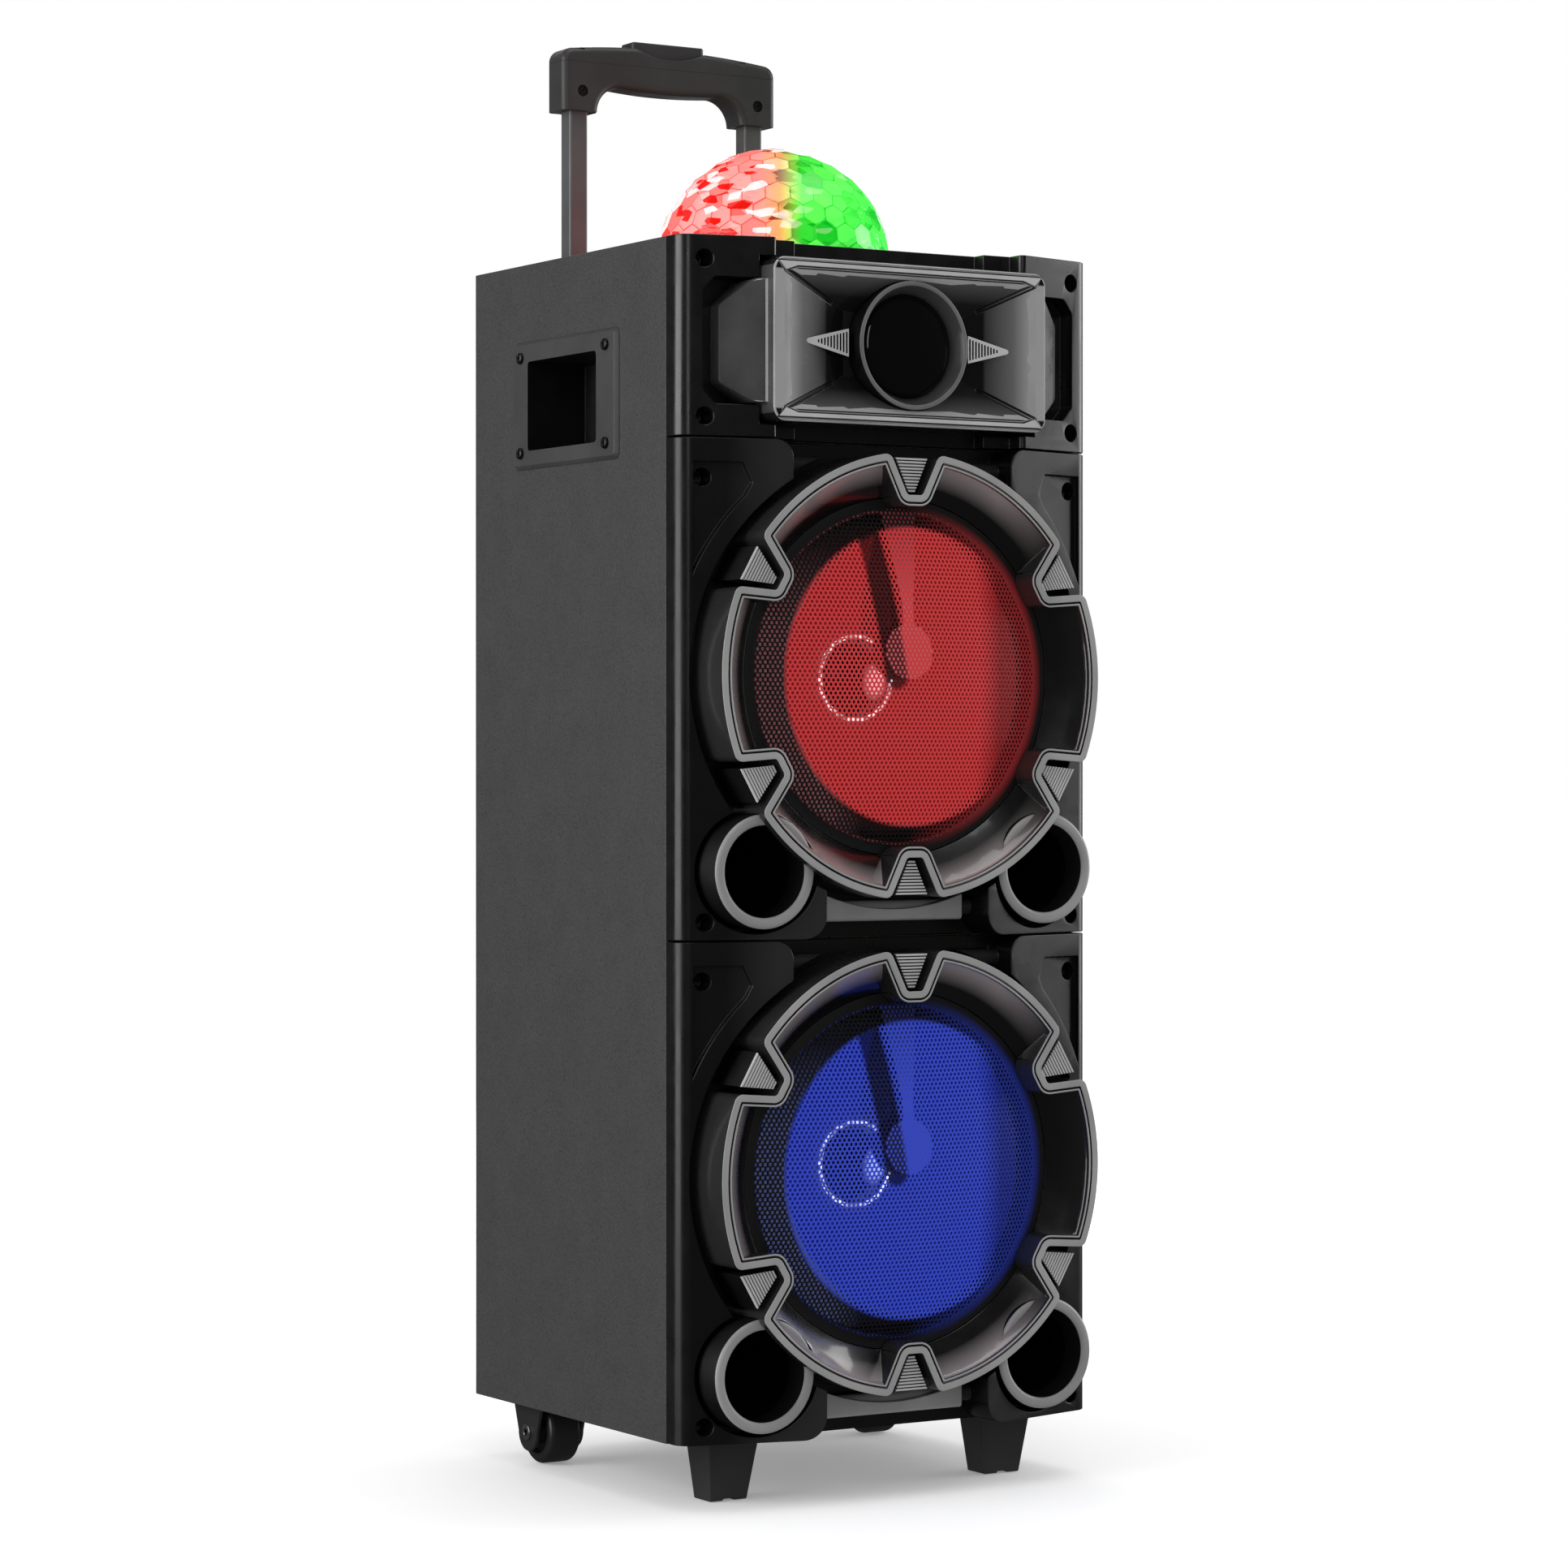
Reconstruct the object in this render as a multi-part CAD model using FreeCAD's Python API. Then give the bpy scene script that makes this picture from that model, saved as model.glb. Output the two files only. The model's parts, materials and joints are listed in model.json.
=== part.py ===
import FreeCAD, Part
import math
import os

# Party speaker: a tall cabinet with two ten-inch woofers one above the other, a horn tweeter
# above them, a rotating light dome on the roof, a telescopic trolley handle on the back, two
# front feet and two rear wheels.
#
# Working axes: +X is the speaker's left-to-right as seen from the front, +Y points to the back
# and +Z is up. Y = 0 is the seam between the wooden cabinet and its plastic front decks, and
# Z = 0 is the floor. Every shape is moved at the end, so that the written origin is on the floor
# at the middle of the footprint.

# --- Driving dimensions, millimetres -------------------------------------------------------
cabinet_width = 320.0
cabinet_height = 780.0
cabinet_depth = 267.0
board = 12.0
foot_height = 42.0

woofer_deck_height = 325.0
deck_slab = 8.0
pad_front_at_screw = 21.5
pad_slope = 0.25
deck_screw_x = 143.4

bezel_radius = 146.7
bezel_front = 49.4
bezel_height_in_deck = 171.7
bezel_bore = 118.0
notch_count = 6

port_x = 109.35
port_height_in_deck = 44.9
port_outer = 37.3
port_inner = 29.7
port_front = 41.4

horn_width = 212.0
horn_height = 106.0
horn_front = 46.0
horn_centre_in_cabinet = 713.3

dome_radius = 81.0
tube_x = 72.2
tube_y = 284.0
grip_depth = 26.0
grip_top_in_cabinet = 951.5

wheel_radius = 22.0
wheel_y = 209.0

# --- Places worked out from them ------------------------------------------------------------
half_width = cabinet_width / 2
cabinet_bottom = foot_height
cabinet_top = cabinet_bottom + cabinet_height
lower_deck = cabinet_bottom
upper_deck = lower_deck + woofer_deck_height
tweeter_deck = upper_deck + woofer_deck_height
horn_z = cabinet_bottom + horn_centre_in_cabinet
dome_y = cabinet_depth / 2 - 2.5
dome_z = cabinet_top + 2.0
back_y = cabinet_depth
grip_back = tube_y + grip_depth / 2
origin_y = (grip_back - bezel_front) / 2

X_AXIS = FreeCAD.Vector(1, 0, 0)
Y_AXIS = FreeCAD.Vector(0, 1, 0)
Z_AXIS = FreeCAD.Vector(0, 0, 1)


# --- Helpers --------------------------------------------------------------------------------
def vector(x, y, z):
    return FreeCAD.Vector(x, y, z)


def box(x, y, z):
    """A box from three (low, high) pairs."""
    size = [pair[1] - pair[0] for pair in (x, y, z)]
    return Part.makeBox(size[0], size[1], size[2], vector(x[0], y[0], z[0]))


def rod(radius, start, end):
    """A solid cylinder between two points."""
    a = vector(*start)
    b = vector(*end)
    return Part.makeCylinder(radius, (b - a).Length, a, b - a)


def pipe(outer, inner, start, end):
    return rod(outer, start, end).cut(rod(inner, start, end))


def cone(radius_start, radius_end, start, end):
    a = vector(*start)
    b = vector(*end)
    return Part.makeCone(radius_start, radius_end, (b - a).Length, a, b - a)


def prism(points, direction):
    """A closed outline of 3-D points, pushed along a direction."""
    corners = [vector(*point) for point in points]
    outline = Part.makePolygon(corners + corners[:1])
    return Part.Face(outline).extrude(vector(*direction))


def front_prism(outline, y_front, y_back):
    """An outline of (x, z) points, pushed from y_front back to y_back."""
    points = [(x, y_front, z) for x, z in outline]
    return prism(points, (0, y_back - y_front, 0))


def revolve_about_y(profile, z):
    """A profile of (radius, y) points, turned about the Y-parallel axis at height z."""
    corners = [vector(radius, y, z) for radius, y in profile]
    face = Part.Face(Part.makePolygon(corners + corners[:1]))
    return face.revolve(vector(0, 0, z), Y_AXIS, 360)


def join(shapes):
    first = shapes[0]
    if len(shapes) == 1:
        return first
    return first.fuse(shapes[1:]).removeSplitter()


def remove(shape, tools):
    return shape.cut(tools)


def mirrored(shape):
    """The same shape on the other side of the plane X = 0."""
    return shape.mirror(vector(0, 0, 0), X_AXIS)


def both_sides(shape):
    return [shape, mirrored(shape)]


def is_parallel(edge, axis):
    if not isinstance(edge.Curve, (Part.Line, Part.LineSegment)):
        return False
    return abs(edge.tangentAt(edge.FirstParameter).dot(axis)) > 0.999


def soften(shape, radius, wanted):
    """Fillet each edge that the wanted test picks."""
    edges = [edge for edge in shape.Edges if wanted(edge)]
    return shape.makeFillet(radius, edges)


def lies_at(edge, **limits):
    """True where the middle of the edge is within half a millimetre of each named coordinate."""
    middle = edge.BoundBox.Center
    return all(abs(getattr(middle, name) - value) < 0.5 for name, value in limits.items())


def turned_about_y(shape, degrees, z):
    turned = shape.copy()
    turned.rotate(vector(0, 0, z), Y_AXIS, degrees)
    return turned


def solids(shapes):
    """Several separate solids in one node."""
    parts = []
    for shape in shapes:
        parts.extend(shape.Solids)
    return Part.makeCompound(parts)


# --- Cabinet of wooden boards ---------------------------------------------------------------
cup_y = (61.0, 207.0)
cup_z = (cabinet_bottom + 640.0, cabinet_bottom + 727.0)
cup_mouth_y = (88.0, 184.5)
cup_mouth_z = (cabinet_bottom + 652.5, cabinet_bottom + 713.0)
cup_wall = 2.5
cup_depth = 42.0
cup_proud = 3.0
cup_screw_inset_y = 13.5
cup_screw_inset_z = 11.0
driver_cutout = 115.0
pod_cutout = 34.0
port_tube_outer = 32.2
screw_shank = 1.9
screw_hole = 2.0
screw_head = 3.9
screw_head_height = 2.4

panel_x = 56.0
panel_z = (cabinet_bottom + 430.0, cabinet_bottom + 716.0)
panel_thickness = 3.0
panel_opening_margin = 9.0


def cup_screw_places():
    places = []
    for y in (cup_y[0] + cup_screw_inset_y, cup_y[1] - cup_screw_inset_y):
        for z in (cup_z[0] + cup_screw_inset_z, cup_z[1] - cup_screw_inset_z):
            places.append((y, z))
    return places


def side_panel_right():
    panel = box((half_width - board, half_width), (0, cabinet_depth), (cabinet_bottom, cabinet_top))
    cutout = box(
        (half_width - board, half_width),
        (cup_mouth_y[0] - cup_wall, cup_mouth_y[1] + cup_wall),
        (cup_mouth_z[0] - cup_wall, cup_mouth_z[1] + cup_wall),
    )
    holes = [
        rod(screw_hole, (half_width - board, y, z), (half_width, y, z)) for y, z in cup_screw_places()
    ]
    return remove(panel, [cutout] + holes)


def deck_screw_holes():
    return [rod(screw_hole, (x, 0, z), (x, board, z)) for x, z in deck_screw_places()]


def flat_panel(z_low):
    inner = half_width - board
    return box((-inner, inner), (0, cabinet_depth), (z_low, z_low + board))


def top_panel():
    spindle_hole = rod(9.0, (0, dome_y, cabinet_top - board), (0, dome_y, cabinet_top))
    return flat_panel(cabinet_top - board).cut(spindle_hole)


def bottom_panel():
    holes = deck_screw_holes()
    for x, y in foot_screw_places() + bracket_screw_places():
        holes.append(rod(screw_hole, (x, y, cabinet_bottom), (x, y, cabinet_bottom + board)))
    wheel_recess = box(wheel_window_x, wheel_window_y, (cabinet_bottom, cabinet_bottom + 5.0))
    return remove(flat_panel(cabinet_bottom), holes + both_sides(wheel_recess))


def back_panel():
    inner = half_width - board
    panel = box(
        (-inner, inner),
        (back_y - board, back_y),
        (cabinet_bottom + board, cabinet_top - board),
    )
    opening = box(
        (-panel_x + panel_opening_margin, panel_x - panel_opening_margin),
        (back_y - board, back_y),
        (panel_z[0] + panel_opening_margin, panel_z[1] - panel_opening_margin),
    )
    holes = [
        rod(screw_hole, (x, back_y - board, z), (x, back_y, z))
        for x, z in panel_screw_places() + trolley_screw_places()
    ]
    return remove(panel, [opening] + holes)


def front_board():
    inner = half_width - board
    sheet = box((-inner, inner), (0, board), (cabinet_bottom + board, cabinet_top - board))
    cuts = []
    for deck in (lower_deck, upper_deck):
        centre = deck + bezel_height_in_deck
        cuts.append(rod(driver_cutout, (0, 0, centre), (0, board, centre)))
        port = rod(
            port_tube_outer + 0.5,
            (port_x, 0, deck + port_height_in_deck),
            (port_x, board, deck + port_height_in_deck),
        )
        cuts.extend(both_sides(port))
    cuts.append(rod(pod_cutout, (0, 0, horn_z), (0, board, horn_z)))
    return remove(sheet, cuts + deck_screw_holes())


# --- Plastic front decks --------------------------------------------------------------------
screw_well = 5.75
screw_seat = 6.0
trough_radius = 153.0
ear_inner_x = 85.0
foot_pad_inner_x = 63.0
pillar_inner_x = 95.0
woofer_screw_heights = (12.3, 299.0)
tweeter_screw_heights = (13.2, 114.7)


def deck_screw_places():
    heights = [lower_deck + z for z in woofer_screw_heights]
    heights += [upper_deck + z for z in woofer_screw_heights]
    heights += [tweeter_deck + z for z in tweeter_screw_heights]
    return [(side * deck_screw_x, z) for z in heights for side in (-1, 1)]


def pad_front(x):
    """Y of the slanted pad face: it comes forward towards the middle of the speaker."""
    return -pad_front_at_screw - pad_slope * (deck_screw_x - x)


def pad(inner_x, z_low, z_high, end_radius):
    """The right-hand pad: slanted face, round outer corner, and a round inner end."""
    outline = [
        (inner_x, 0.0, z_low),
        (half_width, 0.0, z_low),
        (half_width, pad_front(half_width), z_low),
        (inner_x, pad_front(inner_x), z_low),
    ]
    block = prism(outline, (0, 0, z_high - z_low))
    outer_corner_radius = 11.0
    block = soften(
        block,
        outer_corner_radius,
        lambda edge: is_parallel(edge, Z_AXIS) and lies_at(edge, x=half_width, y=pad_front(half_width)),
    )
    if end_radius > 0:
        block = soften(
            block,
            end_radius,
            lambda edge: is_parallel(edge, Y_AXIS) and lies_at(edge, x=inner_x),
        )
    return block


def sunk_pocket(outline, depth, keep_clear=None):
    """A pocket in the right-hand pad, of even depth below its slanted face."""
    column = front_prism(outline, -60.0, 0.0)
    layer = prism(
        [
            (0.0, pad_front(0.0) - 20.0, 0.0),
            (half_width, pad_front(half_width) - 20.0, 0.0),
            (half_width, pad_front(half_width) + depth, 0.0),
            (0.0, pad_front(0.0) + depth, 0.0),
        ],
        (0, 0, cabinet_top + 100.0),
    )
    pocket = column.common(layer)
    if keep_clear:
        pocket = pocket.cut(keep_clear)
    return pocket


def screw_cuts(places):
    cuts = []
    for x, z in places:
        cuts.append(rod(screw_well, (x, -60.0, z), (x, -screw_seat, z)))
        cuts.append(rod(screw_hole, (x, -screw_seat, z), (x, 0, z)))
    return cuts


def woofer_deck(deck):
    centre = deck + bezel_height_in_deck
    middle = deck + woofer_deck_height / 2
    top = deck + woofer_deck_height
    port_z = deck + port_height_in_deck
    edge_gap = 0.5
    slab = box((-half_width, half_width), (-deck_slab, 0), (deck + edge_gap, top - edge_gap))
    ear = pad(ear_inner_x, middle, top - edge_gap, 12.0)
    foot_pad = pad(foot_pad_inner_x, deck + edge_gap, middle, 15.0)
    trough = rod(trough_radius, (0, -60.0, centre), (0, -deck_slab, centre))
    port_gap = rod(port_outer + 3.2, (port_x, -60.0, port_z), (port_x, -deck_slab, port_z))
    ear = ear.cut(trough)
    foot_pad = foot_pad.cut([trough, port_gap])
    pocket = sunk_pocket(
        [
            (112.0, deck + 296.0),
            (118.0, deck + 309.0),
            (151.0, deck + 309.0),
            (151.0, deck + 225.0),
        ],
        3.5,
        rod(164.5, (0, -70.0, centre), (0, 10.0, centre)),
    )
    ear = ear.cut(pocket)
    bridge = box((-53, 53), (-25.0, 0), (deck + 11.0, deck + 40.0))
    bridge = soften(bridge, 2.5, lambda edge: is_parallel(edge, X_AXIS) and lies_at(edge, y=-25.0))
    bridge = bridge.cut(trough)
    lower_rod = rod(5.5, (-70.0, -15.0, deck + 19.0), (70.0, -15.0, deck + 19.0))
    upper_rod = rod(5.5, (-92.0, -15.5, deck + 310.0), (92.0, -15.5, deck + 310.0)).cut(trough)
    body = join([slab, bridge, lower_rod, upper_rod] + both_sides(ear) + both_sides(foot_pad))
    cuts = [rod(driver_cutout, (0, -60.0, centre), (0, 0, centre))]
    for x in (-port_x, port_x):
        cuts.append(rod(port_tube_outer + 0.5, (x, -60.0, port_z), (x, 0, port_z)))
    cuts += screw_cuts([(x, z) for x, z in deck_screw_places() if deck < z < top])
    return remove(body, cuts)


def tweeter_deck_shape():
    low = tweeter_deck + 0.5
    slab = box((-half_width, half_width), (-deck_slab, 0), (low, cabinet_top))
    pillar = pad(pillar_inner_x, low, cabinet_top, 0)
    pillar = soften(
        pillar,
        3.5,
        lambda edge: is_parallel(edge, Z_AXIS)
        and lies_at(edge, x=pillar_inner_x, y=pad_front(pillar_inner_x)),
    )
    window = front_prism(
        [
            (90.0, horn_z - 42.0),
            (136.5, horn_z - 42.0),
            (144.5, horn_z - 33.0),
            (144.5, horn_z + 31.0),
            (136.5, horn_z + 40.0),
            (90.0, horn_z + 40.0),
        ],
        -60.0,
        -deck_slab,
    )
    window = soften(window, 5.0, lambda edge: is_parallel(edge, Y_AXIS))
    body_gap = box((90.0, horn_width / 2 + 1.5), (-60.0, -deck_slab), (horn_z - 54.5, horn_z + 54.5))
    pillar = pillar.cut([window, body_gap])
    step = pad(74.0, low, cabinet_top, 0).common(box((74.0, 96.0), (-19.0, 0), (low, cabinet_top)))
    step = step.cut(body_gap.fuse(box((60, 100), (-60, -deck_slab), (horn_z - 54.5, horn_z + 54.5))))
    body = join([slab] + both_sides(pillar) + both_sides(step))
    cuts = [rod(pod_cutout, (0, -60, horn_z), (0, 0, horn_z))]
    cuts += screw_cuts([(x, z) for x, z in deck_screw_places() if z > tweeter_deck])
    return remove(body, cuts)


# --- Horn tweeter ---------------------------------------------------------------------------
horn_lip = 8.0
horn_throat = (92.0, 42.0)
horn_throat_y = -34.0
horn_wall = 3.5
horn_side = 3.0
horn_back_plate = 3.0
groove_radius = 1.3
ring_outer = 42.2
ring_mouth = 39.0
ring_throat = 34.0
ring_front = 48.3
ring_back = 25.0
flange_back = 22.0
lens_seat = 38.0
lens_rise = 7.5
pod_radius = 31.0


def rectangle_wire(width, height, y, z):
    corners = [
        vector(-width / 2, y, z - height / 2),
        vector(width / 2, y, z - height / 2),
        vector(width / 2, y, z + height / 2),
        vector(-width / 2, y, z + height / 2),
    ]
    return Part.makePolygon(corners + corners[:1])


def horn_funnel():
    """The air space of the horn: a shallow dish from its mouth to its throat."""
    mouth = rectangle_wire(horn_width - 2 * horn_lip, horn_height - 2 * horn_lip, -horn_front, horn_z)
    throat = rectangle_wire(horn_throat[0], horn_throat[1], horn_throat_y, horn_z)
    return Part.makeLoft([mouth, throat], True, True)


def mitre_grooves():
    """Grooves along the dish's four corners, from the mouth a good part of the way to the throat."""
    reach = 0.8
    mouth_x = horn_width / 2 - horn_lip
    mouth_z = horn_height / 2 - horn_lip
    end_x = mouth_x + reach * (horn_throat[0] / 2 - mouth_x)
    end_y = -horn_front + reach * (horn_throat_y + horn_front)
    end_z = mouth_z + reach * (horn_throat[1] / 2 - mouth_z)
    grooves = []
    for side in (-1, 1):
        for up in (-1, 1):
            start = (side * mouth_x, -horn_front, horn_z + up * mouth_z)
            grooves.append(rod(groove_radius, start, (side * end_x, end_y, horn_z + up * end_z)))
    return grooves


def horn_frame():
    half = horn_width / 2
    body = box(
        (-half, half),
        (-horn_front, -deck_slab),
        (horn_z - horn_height / 2, horn_z + horn_height / 2),
    )
    body = soften(body, 9.0, lambda edge: is_parallel(edge, Y_AXIS))
    body = soften(body, 1.5, lambda edge: lies_at(edge, y=-horn_front))
    wing_face = [
        (half - 8.0, horn_z - 41.0),
        (half + 7.0, horn_z - 41.0),
        (half + 26.0, horn_z - 28.0),
        (half + 26.0, horn_z + 22.0),
        (half + 7.0, horn_z + 39.0),
        (half - 8.0, horn_z + 39.0),
    ]
    wing = front_prism(wing_face, -horn_front, -deck_slab)
    wing = soften(wing, 5.0, lambda edge: is_parallel(edge, Y_AXIS))
    slope = prism(
        [
            (half - 8.0, -38.0, 0.0),
            (half + 1.0, -38.0, 0.0),
            (half + 27.0, -19.0, 0.0),
            (half + 27.0, -deck_slab, 0.0),
            (half - 8.0, -deck_slab, 0.0),
        ],
        (0, 0, cabinet_top + 100.0),
    )
    wing = wing.common(slope)
    body = join([body] + both_sides(wing))
    hollow = box(
        (horn_side - half, half - horn_side),
        (horn_throat_y + horn_wall, -deck_slab - horn_back_plate),
        (horn_z - horn_height / 2 + horn_side, horn_z + horn_height / 2 - horn_side),
    )
    ring_room = rod(ring_outer + 0.3, (0, -horn_front, horn_z), (0, horn_throat_y + horn_wall, horn_z))
    pod_hole = rod(pod_radius + 0.3, (0, -horn_front, horn_z), (0, 0, horn_z))
    slots = [trim_bar(side, 0.0, 0.9) for side in (-1, 1)]
    return remove(body, [horn_funnel(), hollow, ring_room, pod_hole] + mitre_grooves() + slots)


def trim_bar(side, proud, grown=0.0):
    """A light strip along the top or bottom lip, with pointed ends turned along the mitre.

    Grown by a millimetre or so, it's the slot that the strip stands in."""
    z = horn_z + side * (horn_height / 2 - 4.0)
    outside = z + side * (1.0 + grown)
    inside = z - side * (1.5 + grown)
    tip = inside - side * 3.0
    outline = [
        (-102.0 - grown, outside),
        (102.0 + grown, outside),
        (97.0 + grown, tip),
        (88.0 - grown, inside),
        (-88.0 + grown, inside),
        (-97.0 - grown, tip),
    ]
    return front_prism(outline, -horn_front - proud, -horn_front + 1.6)


def horn_arrow():
    """The right-hand ribbed arrow between the ring and the horn's side wall."""
    front = 41.6
    base_x = 46.5
    tip_x = 79.8
    half_base = 9.2
    outline = [
        (base_x, horn_z - half_base),
        (tip_x - 2.0, horn_z - 1.6),
        (tip_x, horn_z),
        (tip_x - 2.0, horn_z + 1.6),
        (base_x, horn_z + half_base),
    ]
    arrow = front_prism(outline, -front, -24.0)
    cuts = []
    rib_pitch = 2.4
    rib_count = 12
    for index in range(rib_count):
        x = base_x + 1.0 + rib_pitch * index
        half = half_base * (tip_x - x) / (tip_x - base_x) - 1.9
        if half > 0.5:
            cuts.append(box((x, x + 1.2), (-front, -front + 1.6), (horn_z - half, horn_z + half)))
    arrow = remove(arrow, cuts)
    return arrow.common(horn_funnel())


def horn_trim():
    bars = [trim_bar(side, 0.8) for side in (-1, 1)]
    return solids(bars + both_sides(horn_arrow()))


def tweeter_ring():
    """A short tube whose mouth narrows like a funnel to the dome's edge."""
    profile = [
        (ring_mouth, -ring_front),
        (ring_outer, -ring_front),
        (ring_outer, -ring_back),
        (ring_throat, -ring_back),
        (ring_throat, -lens_seat),
    ]
    ring = revolve_about_y(profile, horn_z)
    return soften(ring, 1.0, lambda edge: lies_at(edge, y=-ring_front))


def tweeter_lens():
    """The dark dome inside the ring, with the pod that carries ring and dome behind it."""
    lens_profile = [(0.0, -lens_seat - lens_rise)]
    lens_steps = 8
    for index in range(1, lens_steps + 1):
        angle = math.pi / 2 * index / lens_steps
        lens_profile.append((ring_throat * math.sin(angle), -lens_seat - lens_rise * math.cos(angle)))
    lens_profile += [(ring_throat, -ring_back), (0.0, -ring_back)]
    lens = revolve_about_y(lens_profile, horn_z)
    flange = rod(ring_outer, (0, -ring_back, horn_z), (0, -flange_back, horn_z))
    pod = rod(pod_radius, (0, -flange_back, horn_z), (0, 10.0, horn_z))
    return join([lens, flange, pod])


def tweeter_driver():
    """Compression driver: adapter plate on the back of the front board, then the magnet."""
    plate = box((-70, 70), (board, board + 4.0), (horn_z - 45.0, horn_z + 45.0))
    magnet = rod(44.0, (0, board + 4.0, horn_z), (0, board + 32.0, horn_z))
    cap = rod(26.0, (0, board + 32.0, horn_z), (0, board + 42.0, horn_z))
    throat = rod(pod_radius + 0.5, (0, board, horn_z), (0, board + 4.0, horn_z))
    return join([plate, magnet, cap]).cut(throat)


# --- Woofer bezel ---------------------------------------------------------------------------
notch_half_rim = 19.5
notch_half_foot = 6.0
notch_foot_radius = 118.7
notch_slope = (notch_half_rim - notch_half_foot) / (bezel_radius - notch_foot_radius)
bezel_lip = 7.2
groove_inner = 5.9
groove_outer = 4.6
groove_depth = 2.2
funnel_back = 28.0


def notch_prism(inset, y_front, y_back, z):
    """One notch of the bezel at the top, grown by the inset."""
    spread = inset * math.sqrt(1 + notch_slope**2)
    foot = notch_foot_radius - inset
    rim = bezel_radius + 10.0
    half_foot = notch_half_foot + spread - notch_slope * inset
    half_rim = half_foot + notch_slope * (rim - foot)
    outline = [
        (-half_foot, z + foot),
        (half_foot, z + foot),
        (half_rim, z + rim),
        (-half_rim, z + rim),
    ]
    return front_prism(outline, y_front, y_back)


def notched_disc(inset, y_front, y_back, z):
    """The bezel's outline: a disc with six notches, brought inwards all round by the inset."""
    disc = rod(bezel_radius - inset, (0, y_front, z), (0, y_back, z))
    notch = notch_prism(inset, y_front, y_back, z)
    notches = [turned_about_y(notch, 360.0 / notch_count * index, z) for index in range(notch_count)]
    disc = remove(disc, notches)
    rim_corner = max(6.0 - inset, 1.0)
    foot_corner = 3.2 + inset

    def radius_of(edge):
        middle = edge.BoundBox.Center
        return math.hypot(middle.x, middle.z - z)

    disc = soften(
        disc,
        rim_corner,
        lambda edge: is_parallel(edge, Y_AXIS) and radius_of(edge) > bezel_radius - inset - 1.0,
    )
    return soften(
        disc,
        foot_corner,
        lambda edge: is_parallel(edge, Y_AXIS) and radius_of(edge) < notch_foot_radius + 2.0,
    )


def bezel(deck):
    z = deck + bezel_height_in_deck
    port_z = deck + port_height_in_deck
    body = notched_disc(0.0, -bezel_front, -deck_slab, z)
    groove = notched_disc(groove_outer, -bezel_front, -bezel_front + groove_depth, z)
    groove = groove.cut(notched_disc(groove_inner, -bezel_front, -bezel_front + groove_depth, z))
    mouth = notched_disc(bezel_lip, -bezel_front, -deck_slab, z)
    funnel = revolve_about_y(
        [
            (0.0, -bezel_front),
            (bezel_radius - 5.5, -bezel_front),
            (bezel_radius - 9.0, -bezel_front + 5.5),
            (bezel_bore, -funnel_back),
            (bezel_bore, -deck_slab),
            (0.0, -deck_slab),
        ],
        z,
    ).common(mouth)
    hollow = revolve_about_y(
        [
            (bezel_bore + 3.2, -deck_slab),
            (bezel_radius - 3.5, -deck_slab),
            (bezel_radius - 3.5, -39.0),
            (bezel_bore + 3.2, -24.5),
        ],
        z,
    ).common(notched_disc(3.5, -bezel_front, -deck_slab, z))
    sheet_seat = rod(bezel_bore, (0, -funnel_back - 0.3, z), (0, -deck_slab, z))
    flange_seat = rod(basket_flange + 0.5, (0, -flange_front - 0.2, z), (0, -deck_slab, z))
    port_gap = rod(port_outer + 0.4, (port_x, -port_front - 0.4, port_z), (port_x, 0, port_z))
    return remove(body, [groove, funnel, hollow, sheet_seat, flange_seat] + both_sides(port_gap))


def bezel_wedges(deck):
    """The six ribbed wedges that stand in the bezel's notches."""
    z = deck + bezel_height_in_deck
    foot = 120.5
    rim = 143.5
    front = 43.1
    rib_height = 1.8
    rib_count = 11
    half_foot = 2.3
    half_rim = 12.6
    block = front_prism(
        [(-half_foot, z + foot), (half_foot, z + foot), (half_rim, z + rim), (-half_rim, z + rim)],
        -front,
        -deck_slab,
    )
    pitch = (rim - foot) / rib_count
    ribs = []
    for index in range(rib_count):
        low = foot + pitch * index + 0.35
        high = low + pitch * 0.62
        half_low = half_foot + (half_rim - half_foot) * (low - foot) / (rim - foot)
        half_high = half_foot + (half_rim - half_foot) * (high - foot) / (rim - foot)
        ribs.append(
            front_prism(
                [(-half_low, z + low), (half_low, z + low), (half_high, z + high), (-half_high, z + high)],
                -front - rib_height,
                -front,
            )
        )
    flange_seat = rod(basket_flange + 0.5, (0, -flange_front - 0.2, z), (0, -deck_slab, z))
    wedge = join([block] + ribs).cut(flange_seat)
    return solids([turned_about_y(wedge, 360.0 / notch_count * index, z) for index in range(notch_count)])


# --- Woofer ---------------------------------------------------------------------------------
grille_radius = 117.5
grille_rim_y = -27.5
grille_apex_y = -44.5
grille_sheet = 1.2
grille_flange = 4.0
flange_front = 12.0
basket_flange = 128.5


def dome_profile(radius, rim_y, apex_y, steps):
    """Points (radius, y) on a shallow spherical cap, from the middle out to its rim."""
    height = rim_y - apex_y
    sphere = (radius**2 + height**2) / (2 * height)
    points = []
    for index in range(steps + 1):
        r = radius * index / steps
        points.append((r, apex_y + sphere - math.sqrt(sphere**2 - r**2)))
    return points


def grille(deck):
    """The domed perforated sheet, as a plain sheet with a flat rim."""
    z = deck + bezel_height_in_deck
    cap_radius = grille_radius - grille_flange
    steps = 14
    front = dome_profile(cap_radius, grille_rim_y, grille_apex_y, steps)
    back = [(r, y + grille_sheet) for r, y in front]
    profile = front + [(grille_radius, grille_rim_y), (grille_radius, grille_rim_y + grille_sheet)]
    profile += list(reversed(back))
    return revolve_about_y(profile, z)


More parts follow.
